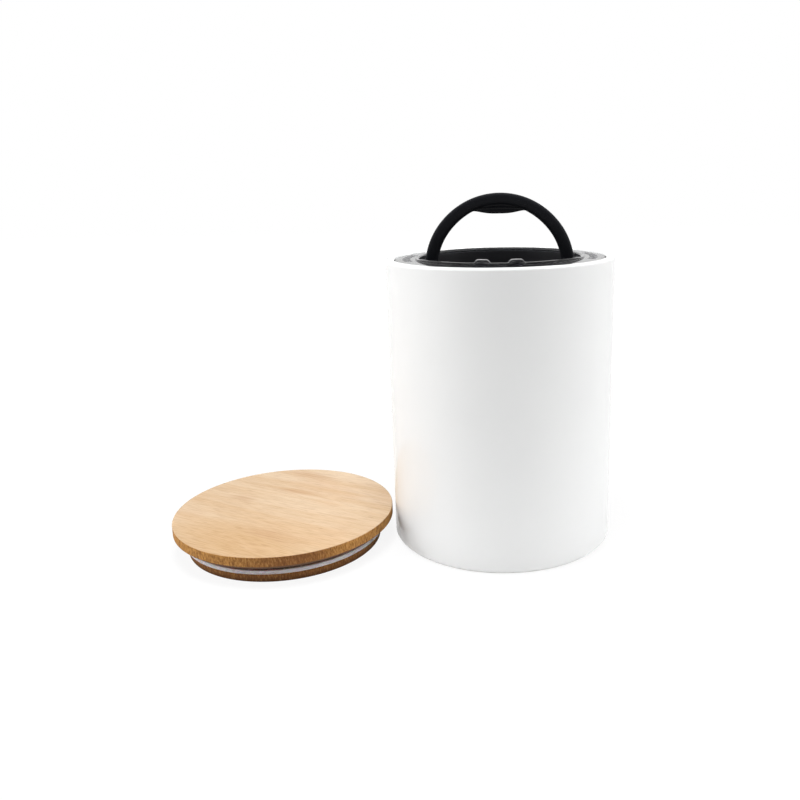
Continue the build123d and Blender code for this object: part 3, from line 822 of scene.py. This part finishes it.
wall = wandering(turned(wall_profile, 288), WALL_WANDER)
canister = add_piece("canister_stoneware", [wall], glaze, "canister")
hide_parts("canister_body")

# %% [markdown]
# ## The inner lid's shell
# The shell is turned from one profile too: a flange that lies just under the canister's rim, a
# raised lip, the well that the handle folds into, and the skirt that carries the seal. A port in
# the well's floor lets the air through. The lip is lower at the two sides, where the handle's legs
# pass over it, so its height is scaled by a share that grows from there to the front and the back.
# Cylinders joined and cut by Boolean modifiers could make the shell, but they leave sharp, untidy
# edges. A profile keeps every edge and its radius in one list.

# %% Inner lid shell
shell_low, shell_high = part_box("plunger_shell")
FLANGE_RADIUS = (shell_high.x - shell_low.x) / 2
FLANGE_TOP = canister_height - 0.7 * MM
FLANGE_FOOT = FLANGE_TOP - 2.0 * MM
LIP_TOP = FLANGE_TOP + 1.6 * MM
LIP_BEVEL, LIP_WIDTH = 1.2 * MM, 2.3 * MM
LIP_SIDE_SHARE = 0.45
SADDLE_START_SHARE, SADDLE_LENGTH_SHARE = 0.25, 0.45
WELL_RADIUS = 49.5 * MM
WELL_FLOOR = canister_height - 17.5 * MM
SKIN = 2.0 * MM
SKIRT_RADIUS = bore_radius - 1.4 * MM
SKIRT_FOOT = FLANGE_FOOT - 23.5 * MM
SEAT_RADIUS = SKIRT_RADIUS - 3.2 * MM
SEAT_FOOT = SKIRT_FOOT - 5.0 * MM
PORT_RADIUS = 9.6 * MM


def saddle(grid):
    """Height above the flange times a share that falls from 1, front and back, at the two sides."""
    share = (np.abs(grid[..., 1]) / WELL_RADIUS - SADDLE_START_SHARE) / SADDLE_LENGTH_SHARE
    share = np.clip(share, 0, 1)
    share = LIP_SIDE_SHARE + (1 - LIP_SIDE_SHARE) * share * share * (3 - 2 * share)
    shaped = grid.copy()
    above = grid[..., 2] - FLANGE_TOP
    shaped[..., 2] = np.where(above > 0.01 * MM, FLANGE_TOP + above * share, grid[..., 2])
    return shaped


shell_profile = rounded([
    (PORT_RADIUS, WELL_FLOOR, 0.3 * MM),
    (WELL_RADIUS, WELL_FLOOR, 2.0 * MM),
    (WELL_RADIUS, LIP_TOP - LIP_BEVEL, 0.3 * MM),
    (WELL_RADIUS + 0.7 * LIP_BEVEL, LIP_TOP, 0.3 * MM),
    (WELL_RADIUS + LIP_WIDTH, LIP_TOP, 0.35 * MM),
    (WELL_RADIUS + LIP_WIDTH, FLANGE_TOP, 0.3 * MM),
    (FLANGE_RADIUS, FLANGE_TOP, 0.6 * MM),
    (FLANGE_RADIUS, FLANGE_FOOT, 0.4 * MM),
    (SKIRT_RADIUS, FLANGE_FOOT, 0.3 * MM),
    (SKIRT_RADIUS, SKIRT_FOOT, 0.4 * MM),
    (SEAT_RADIUS, SKIRT_FOOT, 0.2 * MM),
    (SEAT_RADIUS, SEAT_FOOT, 0.2 * MM),
    (SEAT_RADIUS - SKIN, SEAT_FOOT, 0.2 * MM),
    (SEAT_RADIUS - SKIN, SKIRT_FOOT + SKIN, 0.3 * MM),
    (SKIRT_RADIUS - SKIN, SKIRT_FOOT + SKIN, 0.3 * MM),
    (SKIRT_RADIUS - SKIN, FLANGE_FOOT, 0.4 * MM),
    (WELL_RADIUS + SKIN, FLANGE_FOOT, 0.4 * MM),
    (WELL_RADIUS + SKIN, WELL_FLOOR - SKIN, 1.0 * MM),
    (PORT_RADIUS, WELL_FLOOR - SKIN, 0.3 * MM),
], steps=6, support=0.2 * MM, closed=True)
shell = saddle(turned(shell_profile, 224))
inner_lid = add_piece(
    "inner_lid_shell", [shell], smoke_plastic, "inner_lid", rows_closed=True
)

# %% [markdown]
# The handle turns in two round pads on the well's wall, each with a bore through it and a boss
# behind. They are turned pieces too, lying on their side. A second pad could be built for the left,
# but it is the right one with its x turned round.

# %% Trunnion pads
PIVOT_HEIGHT = canister_height - 7.0 * MM
PAD_RADIUS = 5.6 * MM
PAD_FACE = 46.3 * MM
BOSS_FACE = 54.5 * MM
TRUNNION_BORE = 2.6 * MM


def mirrored(grid):
    """The same grid on the other side of the YZ plane."""
    return grid * np.array([-1, 1, 1])


pad_profile = rounded([
    (TRUNNION_BORE, PAD_FACE, 0.25 * MM),
    (PAD_RADIUS, PAD_FACE, 0.5 * MM),
    (PAD_RADIUS, BOSS_FACE, 0.4 * MM),
    (TRUNNION_BORE, BOSS_FACE, 0.25 * MM),
], steps=5, support=0.15 * MM, closed=True)
pad = turned(pad_profile, 64, (0, PIVOT_HEIGHT), axis="X")
add_piece(
    "trunnion_pads", [pad, mirrored(pad)], smoke_plastic, "inner_lid", rows_closed=True
)

# %% [markdown]
# ## Plates with rounded edges
# Tabs, tick marks and the valve's bar are flat shapes with rounded edges. Such a piece is a stack
# of outlines: each is the flat shape drawn in a little, and the stack follows a quarter circle at
# each face. Two last rows shrink to the middle and close it. An extruded curve with a Bevel modifier
# could do this, but stacked outlines are plain rows of points, which can still be bent.

# %% Plate from an outline
CAP_SHARE = 0.85


def outline_normals(outline):
    """Inward unit normals of a closed outline that runs anticlockwise."""
    ahead = np.roll(outline, -1, axis=0) - np.roll(outline, 1, axis=0)
    ahead /= np.linalg.norm(ahead, axis=1, keepdims=True)
    return np.stack([-ahead[:, 1], ahead[:, 0]], axis=1)


def plate(outline, low, high, edge, steps=5):
    """Rows of (x, y, depth). Round an edge, the outline moves in by edge x (1 - sine) while the depth
    changes by edge x (1 - cosine)."""
    quarter = np.linspace(0, np.pi / 2, steps)
    moved_in = edge * (1 - np.sin(quarter))
    rise = edge * (1 - np.cos(quarter))
    moved_in = np.concatenate([moved_in, moved_in[::-1]])
    depth = np.concatenate([low + rise, high - rise[::-1]])
    rows = outline[None] + moved_in[:, None, None] * outline_normals(outline)[None]
    grid = np.concatenate([rows, np.broadcast_to(depth[:, None, None], rows[..., :1].shape)], axis=-1)
    middle = outline.mean(axis=0)
    caps = []
    for row in (grid[0], grid[-1]):
        drawn = row.copy()
        drawn[:, :2] = middle + (row[:, :2] - middle) * CAP_SHARE
        point = np.broadcast_to([*middle, row[0, 2]], row.shape)
        caps.append((drawn, point))
    first, last = caps
    return np.stack([first[1], first[0], *grid, last[0], last[1]])


def round_the_axis(grid):
    """Bends a flat grid round the Z axis: x becomes an arc, and depth the distance from the axis."""
    angle = grid[..., 0] / grid[..., 2]
    return np.stack([grid[..., 2] * np.sin(angle), -grid[..., 2] * np.cos(angle), grid[..., 1]], axis=-1)


# %% [markdown]
# Two catch tabs with round shoulders stand on the front of the lip. They hold the folded handle.
# They could be blocks cut to shape. Here the tab's outline is drawn flat, as seen from the front,
# and bent round the well, so that the tab follows the lip that it stands on.

# %% Catch tabs
TAB_SPACING = 19.2 * MM
TAB_NEAR, TAB_FAR = 48.6 * MM, 53.4 * MM
TAB_FOOT, TAB_NECK, TAB_TOP = FLANGE_TOP + 0.2 * MM, LIP_TOP - 0.1 * MM, LIP_TOP + 1.9 * MM
TAB_FOOT_HALF, TAB_NECK_HALF, TAB_TOP_HALF = 5.1 * MM, 5.0 * MM, 3.2 * MM
tab_outline = rounded([
    (-TAB_FOOT_HALF, TAB_FOOT, 0.1 * MM),
    (TAB_FOOT_HALF, TAB_FOOT, 0.1 * MM),
    (TAB_NECK_HALF, TAB_NECK, 0.8 * MM),
    (TAB_TOP_HALF, TAB_TOP, 2.6 * MM),
    (-TAB_TOP_HALF, TAB_TOP, 2.6 * MM),
    (-TAB_NECK_HALF, TAB_NECK, 0.8 * MM),
], steps=8, support=0.1 * MM, closed=True)
tab_grids = []
for side in (1, -1):
    shifted = tab_outline + np.array([side * TAB_SPACING / 2, 0])
    tab_grids.append(round_the_axis(plate(shifted, TAB_NEAR, TAB_FAR, 0.6 * MM)))
add_piece("catch_tabs", tab_grids, clear_smoke, "inner_lid")

# %% [markdown]
# A fan of plain raised tick marks lies on each side of the flange. One mark is a slot-shaped plate,
# and the fan is that plate turned about the axis in equal steps. An Array modifier could turn it, but
# needs a helper object to turn by.

# %% Tick marks
TICK_COUNT = 7
TICK_STEP = radians(6)
TICK_MIDDLE = 57.2 * MM
TICK_LENGTH, TICK_WIDTH = 5.0 * MM, 1.4 * MM
TICK_SINK, TICK_RISE = 0.3 * MM, 0.16 * MM
tick_angles = (np.arange(TICK_COUNT) - (TICK_COUNT - 1) / 2) * TICK_STEP
tick_angles = np.concatenate([tick_angles, tick_angles + np.pi])


def slot_outline(length, width, steps=9):
    """A slot: two half circles joined by straight sides, anticlockwise."""
    turn = np.linspace(-np.pi / 2, np.pi / 2, steps)
    half = np.stack([np.cos(turn), np.sin(turn)], axis=1) * width / 2
    right = half + [length / 2 - width / 2, 0]
    return np.vstack([right, -right])


def turned_about_z(grid, angle):
    """The grid turned about the Z axis: x cosine - y sine, and x sine + y cosine."""
    x, y = grid[..., 0], grid[..., 1]
    one, two = x * np.cos(angle) - y * np.sin(angle), x * np.sin(angle) + y * np.cos(angle)
    return np.stack([one, two, grid[..., 2]], axis=-1)


tick = plate(
    slot_outline(TICK_LENGTH, TICK_WIDTH), FLANGE_TOP - TICK_SINK, FLANGE_TOP + TICK_RISE, TICK_RISE, steps=4
)
tick = tick + np.array([TICK_MIDDLE, 0, 0])
tick_grids = [turned_about_z(tick, angle) for angle in tick_angles]
add_piece("tick_marks", tick_grids, frosted_smoke, "inner_lid")
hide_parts("plunger_shell")

# %% [markdown]
# ## The handle
# The bail is nearly a half circle. Its outer and inner edges are arches of five arcs each, and
# both turn through the same angle at the same time, so each angle gives one point on each edge.
# The cross-section between them is a superellipse: rounder than a box, flatter than an ellipse. A
# curve with a bevel could make the bail, but its legs are thicker than its crown, and two edges of
# its own give each place its thickness.

# %% Arches of the bail
HANDLE_HALF_WIDTH = WELL_RADIUS - 3.6 * MM
HANDLE_RISE = WELL_RADIUS - 4.5 * MM
LEG_THICKNESS, CROWN_THICKNESS, HANDLE_DEPTH = 7.9 * MM, 7.1 * MM, 7.0 * MM
OUTER_CROWN = HANDLE_RISE + 0.6 * MM
INNER_CROWN = HANDLE_RISE - CROWN_THICKNESS - 2.6 * MM
LEG_TURN, SHOULDER_TURN = radians(35), radians(62)


def arch(half_width, rise, crown, turn):
    """Point at each turn angle of a five-arc arch: going round an arc of radius r from angle a to b
    moves by r (cos a - cos b) inwards and r (sin b - sin a) upwards."""
    a, b = LEG_TURN, SHOULDER_TURN
    x_left, z_left = half_width - crown * np.cos(b), rise - crown * (1 - np.sin(b))
    x_leg, x_shoulder = 1 - np.cos(a), np.cos(a) - np.cos(b)
    z_leg, z_shoulder = np.sin(a), np.sin(b) - np.sin(a)
    whole = x_leg * z_shoulder - x_shoulder * z_leg
    leg = (x_left * z_shoulder - x_shoulder * z_left) / whole
    shoulder = (x_leg * z_left - z_leg * x_left) / whole
    folded = np.minimum(turn, np.pi - turn)
    x, z = np.full_like(turn, half_width), np.full_like(turn, PIVOT_HEIGHT)
    for radius, start, end in ((leg, 0, a), (shoulder, a, b), (crown, b, np.pi / 2)):
        reached = np.clip(folded, start, end)
        x = x - radius * (np.cos(start) - np.cos(reached))
        z = z + radius * (np.sin(reached) - np.sin(start))
    return np.where(turn <= np.pi / 2, x, -x), z


turn = np.linspace(0, np.pi, 181)
outer_x, outer_z = arch(HANDLE_HALF_WIDTH, HANDLE_RISE, OUTER_CROWN, turn)
inner_x, inner_z = arch(HANDLE_HALF_WIDTH - LEG_THICKNESS, HANDLE_RISE - CROWN_THICKNESS, INNER_CROWN, turn)
print(f"handle rises to {1000 * outer_z.max():.1f} mm")

# %% [markdown]
# The bail's surface runs from one leg to the other. At each turn the cross-section is set between
# the two edges, and the ends shrink to a point inside the cams.

# %% Handle bail
SECTION_POWER = 3.0


def superellipse(count, power):
    """Points round a unit superellipse: cosine and sine, each to the power 2 / power."""
    t = np.linspace(0, 2 * np.pi, count, endpoint=False)
    c, s = np.cos(t), np.sin(t)
    return np.sign(c) * np.abs(c) ** (2 / power), np.sign(s) * np.abs(s) ** (2 / power)


def closed_ends(grid):
    """The grid with its first and last rows shrunk to their middles, as one more row at each end."""
    ends = [np.broadcast_to(grid[i].mean(axis=0), grid[i].shape) for i in (0, -1)]
    return np.stack([ends[0], *grid, ends[1]])


across_share, depth_share = superellipse(48, SECTION_POWER)
middle_x, middle_z = (outer_x + inner_x) / 2, (outer_z + inner_z) / 2
half_x, half_z = (outer_x - inner_x) / 2, (outer_z - inner_z) / 2
bail_grid = np.stack([
    middle_x[:, None] + half_x[:, None] * across_share,
    np.broadcast_to(depth_share * HANDLE_DEPTH / 2, (len(turn), len(depth_share))),
    middle_z[:, None] + half_z[:, None] * across_share,
], axis=-1)
bail = add_piece("handle_bail", [closed_ends(bail_grid)], grained_black, "handle")

# %% [markdown]
# The thumb lip fills the inside of the crown. It is a thin lens: each cross-section is a flat
# superellipse from inside the bail down to the lip's curved edge, pinched in the middle where the
# thumb goes. It could be sculpted. As formulas, its two edges stay even and its top stays inside
# the bail. Its foot hangs down by the drop times a power of (1 - a power of the distance from the
# middle), and the pinch is a bell curve down the lip that fades out towards its ends.

# %% Thumb lip
THUMB_HALF_WIDTH = 16.0 * MM
THUMB_DROP = 12.4 * MM
THUMB_THICKNESS = 3.8 * MM
THUMB_SINK = 1.6 * MM
THUMB_POWER = 2.6
EDGE_POWER, EDGE_ROUNDING = 2.4, 1.35
DISH_SHARE, DISH_PLACE_SHARE, DISH_SPREAD_SHARE = 0.55, -0.15, 0.5
crown_height = PIVOT_HEIGHT + HANDLE_RISE
thumb_x = np.linspace(-1, 1, 61)
inner_edge = np.interp(thumb_x * THUMB_HALF_WIDTH, inner_x[::-1], inner_z[::-1])
deepest = inner_edge[len(thumb_x) // 2] - (crown_height - THUMB_DROP)
thumb_foot = inner_edge - deepest * (1 - np.abs(thumb_x) ** EDGE_POWER) ** EDGE_ROUNDING
thumb_top = inner_edge + THUMB_SINK
lip_round, lip_depth = superellipse(40, THUMB_POWER)
lip_middle = ((thumb_top + thumb_foot) / 2)[:, None]
lip_half = ((thumb_top - thumb_foot) / 2)[:, None]
dish = np.exp(-(((lip_round[None] - DISH_PLACE_SHARE) / DISH_SPREAD_SHARE) ** 2))
pinch = 1 - DISH_SHARE * (1 - thumb_x[:, None] ** 2) * dish
lip_grid = np.stack([
    np.broadcast_to((thumb_x * THUMB_HALF_WIDTH)[:, None], pinch.shape),
    lip_depth[None] * THUMB_THICKNESS / 2 * pinch,
    lip_middle + lip_half * lip_round[None],
], axis=-1)
add_piece("thumb_lip", [closed_ends(lip_grid)], smooth_black, "handle")

# %% [markdown]
# Under each leg sits an eccentric cam with a trunnion through it. Its centre is ahead of and above
# the pivot, so folding the handle forward lowers the cam's underside by two millimetres. Both are
# short cylinders with soft edges, so they are turned like the pads, each round its own centre.

# %% Cams and trunnions
CAM_THROW = 1.0 * MM
CAM_RADIUS = 5.0 * MM
CAM_INNER_FACE = HANDLE_HALF_WIDTH - 7.2 * MM
CAM_MIDDLE = (CAM_INNER_FACE + HANDLE_HALF_WIDTH) / 2
TRUNNION_RADIUS = 2.5 * MM
TRUNNION_END = HANDLE_HALF_WIDTH + 5.6 * MM
cam_profile = rounded([
    (0, CAM_INNER_FACE, 0),
    (CAM_RADIUS, CAM_INNER_FACE, 0.6 * MM),
    (CAM_RADIUS, HANDLE_HALF_WIDTH, 0.6 * MM),
    (0, HANDLE_HALF_WIDTH, 0),
], steps=6, support=0.15 * MM)
trunnion_profile = rounded([
    (0, CAM_MIDDLE, 0),
    (TRUNNION_RADIUS, CAM_MIDDLE, 0.3 * MM),
    (TRUNNION_RADIUS, TRUNNION_END, 0.4 * MM),
    (0, TRUNNION_END, 0),
], steps=5, support=0.15 * MM)
cam = turned(cam_profile, 72, (-CAM_THROW, PIVOT_HEIGHT + CAM_THROW), axis="X")
trunnion = turned(trunnion_profile, 48, (0, PIVOT_HEIGHT), axis="X")
for name, grid in (("handle_cams", cam), ("handle_trunnions", trunnion)):
    add_piece(name, [grid, mirrored(grid)], smooth_black, "handle")
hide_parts("handle")

# %% [markdown]
# ## The bamboo lid
# The lid is turned on a lathe: a plate with a bevelled underside, a plug with a groove for the
# ring, and a shallow hollow underneath. A cylinder with its faces inset and pushed in could make it.
# One profile does it as the lathe does, and gives each edge the radius that sanding leaves.

# %% Bamboo lid
LID_PLUG_RADIUS = bore_radius - 3.7 * MM
GROOVE_RADIUS = LID_PLUG_RADIUS - 4.6 * MM
HOLLOW_RADIUS = GROOVE_RADIUS - 5.5 * MM
HOLLOW_DEPTH = 9.5 * MM
BEVEL_WIDTH, BEVEL_HEIGHT = 2.0 * MM, 1.9 * MM
lid_profile = rounded([
    (0, HOLLOW_DEPTH, 0),
    (HOLLOW_RADIUS, HOLLOW_DEPTH, 1.5 * MM),
    (HOLLOW_RADIUS, 0, 0.4 * MM),
    (LID_PLUG_RADIUS, 0, 0.6 * MM),
    (LID_PLUG_RADIUS, GROOVE_FOOT, 0.4 * MM),
    (GROOVE_RADIUS, GROOVE_FOOT, 0.3 * MM),
    (GROOVE_RADIUS, GROOVE_TOP, 0.3 * MM),
    (LID_PLUG_RADIUS, GROOVE_TOP, 0.4 * MM),
    (LID_PLUG_RADIUS, PLATE_FOOT, 0.3 * MM),
    (lid_radius - BEVEL_WIDTH, PLATE_FOOT, 0.5 * MM),
    (lid_radius, PLATE_FOOT + BEVEL_HEIGHT, 0.6 * MM),
    (lid_radius, lid_height, 0.6 * MM),
    (0, lid_height, 0),
], steps=6, support=0.25 * MM)
lid = add_piece("turned_bamboo_lid", [turned(lid_profile, 256, lid_centre)], bamboo, "bamboo_lid")
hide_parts("bamboo_lid")

# %% [markdown]
# The ring is clear silicone with three thin fins, which press against the canister's bore when the
# lid is on. Each fin is a soft wave on the ring's outside: a cosine raised to a power, which makes
# its crests narrow. Three discs on a band could make it, but would meet the band in hard corners.

# %% Lid ring
SILICONE_GAP = 0.05 * MM
RING_INNER = GROOVE_RADIUS + SILICONE_GAP
RING_BODY = LID_PLUG_RADIUS - 0.5 * MM
FIN_REACH = LID_PLUG_RADIUS + 1.7 * MM
FIN_COUNT = 3
FIN_SHARPNESS = 5
ring_foot, ring_top = GROOVE_FOOT + SILICONE_GAP, GROOVE_TOP - SILICONE_GAP
rise = np.linspace(0, 1, 73)
fin_wave = (0.5 - 0.5 * np.cos(2 * np.pi * FIN_COUNT * rise)) ** FIN_SHARPNESS
ring_radius = RING_BODY + (FIN_REACH - RING_BODY) * fin_wave
outside = np.stack([ring_radius, ring_foot + (ring_top - ring_foot) * rise], axis=1)
ring_profile = np.vstack([outside, [[RING_INNER, ring_top], [RING_INNER, ring_foot]]])
ring_grid = turned(ring_profile, 224, lid_centre)
ring = add_piece(
    "clear_lid_ring", [ring_grid], clear_silicone, "bamboo_lid", rows_closed=True
)
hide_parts("lid_ring")
print(f"ring {(ring_top - ring_foot) / MM:.1f} mm high, {(FIN_REACH - RING_INNER) / MM:.1f} mm deep")

# %% [markdown]
# ## The wiper seal
# A silicone ring sits between the shell and the base. Two soft lips stand out from it and touch the
# bore. Each lip is a bell curve in the ring's outside: e to the power of minus the square of the
# distance from the lip's middle over its spread. Two thin rings could be laid round a band, but they
# would leave a crease where moulded silicone has none.

# %% Wiper seal
seal_low, seal_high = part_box("wiper_seal")
SEAL_INNER = SEAT_RADIUS + SILICONE_GAP
SEAL_WAIST = bore_radius - 2.4 * MM
SEAL_REACH = (seal_high.x - seal_low.x) / 2
LIP_PLACE_SHARES, LIP_SPREAD_SHARE = (0.25, 0.78), 0.085
seal_rise = np.linspace(0, 1, 81)
lip_wave = sum(np.exp(-(((seal_rise - place) / LIP_SPREAD_SHARE) ** 2)) for place in LIP_PLACE_SHARES)
seal_outside = np.stack([
    SEAL_WAIST + (SEAL_REACH - SEAL_WAIST) * np.minimum(lip_wave, 1),
    seal_low.z + (seal_high.z - seal_low.z) * seal_rise,
], axis=1)
seal_profile = np.vstack([seal_outside, [[SEAL_INNER, seal_high.z], [SEAL_INNER, seal_low.z]]])
seal_grid = turned(seal_profile, 224)
seal = add_piece(
    "silicone_wiper", [seal_grid], black_silicone, "inner_lid", rows_closed=True
)
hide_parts("wiper_seal")

# %% [markdown]
# ## The valve
# The handle's cams press on a cross bar over the port. Under the bar hang a silicone plug and a
# steel stem, and a spring pushes them up again. The bar is a flat pressing: a long slot shape with
# a round hub, blended into each other. One quarter of its outline is three arcs, and the rest is
# that quarter mirrored and turned.

# %% Valve bar
BAR_TOP = PIVOT_HEIGHT + CAM_THROW - CAM_RADIUS - 0.15 * MM
BAR_FOOT = BAR_TOP - 2.0 * MM
BAR_REACH = 45.1 * MM
BAR_HALF_WIDTH = 4.0 * MM
HUB_RADIUS = 9.5 * MM
HUB_BLEND = 2.5 * MM


def arc(centre, radius, start, end, steps):
    """Points on a circle: centre plus radius x (cosine, sine) of angles from start to end."""
    angle = np.linspace(start, end, steps)
    return np.array(centre) + radius * np.stack([np.cos(angle), np.sin(angle)], axis=1)


blend_angle = np.arcsin((BAR_HALF_WIDTH + HUB_BLEND) / (HUB_RADIUS + HUB_BLEND))
blend_centre = ((HUB_RADIUS + HUB_BLEND) * np.cos(blend_angle), BAR_HALF_WIDTH + HUB_BLEND)
quarter_outline = np.vstack([
    arc((BAR_REACH - BAR_HALF_WIDTH, 0), BAR_HALF_WIDTH, 0, np.pi / 2, 14),
    arc(blend_centre, HUB_BLEND, -np.pi / 2, blend_angle - np.pi, 9),
    arc((0, 0), HUB_RADIUS, blend_angle, np.pi / 2, 16)[1:],
])
upper_outline = np.vstack([quarter_outline, (quarter_outline * [-1, 1])[::-1][1:]])
bar_outline = np.vstack([upper_outline[:-1], -upper_outline[:-1]])
bar_grid = plate(bar_outline, BAR_FOOT, BAR_TOP, 0.45 * MM)
bar = add_piece("pressed_valve_bar", [bar_grid], smooth_black, "valve")
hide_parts("valve_bar")

# %% [markdown]
# The stem is a turned steel pin. It has a domed head above the bar and a groove near its foot, and
# the clip in that groove keeps it from being pulled out. A stack of cylinders could make it. As one
# profile it is one closed surface, with its small radii where the tool leaves them.

# %% Valve stem
STEM_RADIUS, STEM_HEAD, STEM_CORE = 1.5 * MM, 3.2 * MM, 1.1 * MM
STEM_TOP = BAR_TOP + 0.9 * MM
SPRING_SEAT = BAR_TOP - 12.7 * MM
CLIP_TOP = SPRING_SEAT - 3.1 * MM
CLIP_FOOT = CLIP_TOP - 0.7 * MM
STEM_FOOT = CLIP_FOOT - 1.0 * MM
stem_profile = rounded([
    (0, STEM_TOP, 0),
    (STEM_HEAD, STEM_TOP, 0.4 * MM),
    (STEM_HEAD, BAR_TOP, 0.1 * MM),
    (STEM_RADIUS, BAR_TOP, 0),
    (STEM_RADIUS, CLIP_TOP, 0.1 * MM),
    (STEM_CORE, CLIP_TOP, 0),
    (STEM_CORE, CLIP_FOOT, 0),
    (STEM_RADIUS, CLIP_FOOT, 0.1 * MM),
    (STEM_RADIUS, STEM_FOOT, 0.2 * MM),
    (0, STEM_FOOT, 0),
], steps=6, support=0.08 * MM)
stem = add_piece("valve_pin", [turned(stem_profile, 48)], steel, "valve")
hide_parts("valve_stem")

# %% [markdown]
# The plug is a silicone disc with a skirt that holds the washer. The spring pushes on the washer,
# so that the steel wire doesn't cut into the soft disc. Both could be cylinders with a hole cut
# through them. A closed profile that stops short of the axis leaves the hole by itself.

# %% Washer and plug
STEM_HOLE = 1.6 * MM
PLUG_RADIUS, WASHER_RADIUS = 8.6 * MM, 4.6 * MM
PLUG_SKIRT = PLUG_RADIUS - 1.2 * MM
PLUG_FOOT = BAR_FOOT - 1.9 * MM
WASHER_TOP = PLUG_FOOT + 0.7 * MM
WASHER_FOOT = WASHER_TOP - 0.6 * MM
washer_profile = rounded([
    (STEM_HOLE, WASHER_FOOT, 0.08 * MM),
    (WASHER_RADIUS, WASHER_FOOT, 0.15 * MM),
    (WASHER_RADIUS, WASHER_TOP, 0.15 * MM),
    (STEM_HOLE, WASHER_TOP, 0.08 * MM),
], steps=4, support=0.05 * MM, closed=True)
washer = add_piece("spring_washer", [turned(washer_profile, 64)], steel, "valve", rows_closed=True)
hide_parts("valve_washer")
plug_profile = rounded([
    (STEM_HOLE, BAR_FOOT, 0.1 * MM),
    (PLUG_RADIUS, BAR_FOOT, 0.4 * MM),
    (PLUG_RADIUS, PLUG_FOOT, 0.5 * MM),
    (PLUG_SKIRT, PLUG_FOOT, 0.3 * MM),
    (PLUG_SKIRT, WASHER_TOP, 0.2 * MM),
    (STEM_HOLE, WASHER_TOP, 0.1 * MM),
], steps=6, support=0.08 * MM, closed=True)
plug = add_piece(
    "valve_disc", [turned(plug_profile, 96)], black_silicone, "valve", rows_closed=True
)
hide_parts("valve_plug")

# %% [markdown]
# The spring is a wire carried along a helix. It gets shorter when the valve goes down, so it stays
# on the inner lid. A Screw modifier could wind it. The formula gives its exact ends, which have to
# meet the seat and the washer.

# %% Valve spring
SPRING_TURNS = 4.5
SPRING_MEAN = 3.4 * MM
WIRE_RADIUS = 0.35 * MM


def coil(turns, mean, wire, foot, top, steps_per_turn=40, sides=12):
    """A tube along a helix: (mean cos t, mean sin t, height), plus wire x (radial cos + up sin)."""
    count = round(turns * steps_per_turn)
    angle = np.linspace(0, 2 * np.pi * turns, count)[:, None]
    height = np.linspace(foot + wire, top - wire, count)[:, None]
    around = np.linspace(0, 2 * np.pi, sides, endpoint=False)[None]
    radius = mean + wire * np.cos(around)
    along = height + wire * np.sin(around)
    return np.stack([radius * np.cos(angle), radius * np.sin(angle), along], axis=-1)


spring_grid = closed_ends(coil(SPRING_TURNS, SPRING_MEAN, WIRE_RADIUS, SPRING_SEAT, WASHER_FOOT))
spring = add_piece("coil_spring", [spring_grid], steel, "inner_lid")
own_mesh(spring)
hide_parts("valve_spring")

# %% [markdown]
# The other small pieces lie inside the inner lid or under it. They could be made again too, but
# they are hardly ever seen, so they keep their solids and only get their finishes.

# %% Finishes of the small pieces
finish_of_node = {
    "plunger_base": smoke_plastic,
    "stem_guide": smoke_plastic,
    "valve_seat": black_silicone,
    "stem_clip": steel,
}
for name, finish in finish_of_node.items():
    nodes[name].data.materials.clear()
    nodes[name].data.materials.append(finish)
print("dressed as they are:", sorted(finish_of_node))

# %% [markdown]
# ## The table
# A white sheet that runs out of the picture. To the camera it is mostly plain white, with a share
# of real shading left in, so that the soft shadows under the canister and the lid still show. The
# share fades out with the distance, so the sheet has no visible end. A brighter lamp could make
# plain paper as white, but would wash out the object.

# %% Table
TABLE_REACH = 3.0
TABLE_DROP = 0.01 * MM
SHADED_SHARE = 0.13
SHADED_NEAR, SHADED_FAR = 0.2, 0.42
PAPER_WHITE = (0.9, 0.9, 0.9, 1)
SHEET_GLOW = 1.02
table_mesh = bpy.data.meshes.new("table")
corner_signs = np.array([(-1, -1), (1, -1), (1, 1), (-1, 1)])
table_points = np.hstack([corner_signs * TABLE_REACH, np.full((4, 1), -TABLE_DROP)])
table_mesh.from_pydata(table_points.tolist(), [], [(0, 1, 2, 3)])
table = bpy.data.objects.new("table", table_mesh)
bpy.context.scene.collection.objects.link(table)


def make_table_white():
    """White paper that shows the camera and reflections a share of plain white."""
    material = bpy.data.materials.new("table_white")
    material.use_nodes = True
    tree = material.node_tree
    tree.nodes.clear()
    paper = node(tree, "ShaderNodeBsdfDiffuse", Color=PAPER_WHITE)
    plain = node(tree, "ShaderNodeEmission", Color=PLAIN_WHITE, Strength=SHEET_GLOW)
    away = node(tree, "ShaderNodeVectorMath", operation="LENGTH")
    link(tree, node(tree, "ShaderNodeTexCoord").outputs["Object"], away.inputs[0])
    distance = away.outputs["Value"]
    plain_share = remap(tree, distance, SHADED_NEAR, SHADED_FAR, 1 - SHADED_SHARE, 1.0, smooth=True)
    share = combine(tree, "MULTIPLY", direct_rays(tree)[1], plain_share)
    show_mix(tree, share, paper, plain, "ShaderNodeOutputMaterial")
    return material


table_mesh.materials.append(make_table_white())
print(f"table {2 * TABLE_REACH:.0f} m wide, {1 - SHADED_SHARE:.0%} plain white to the camera")
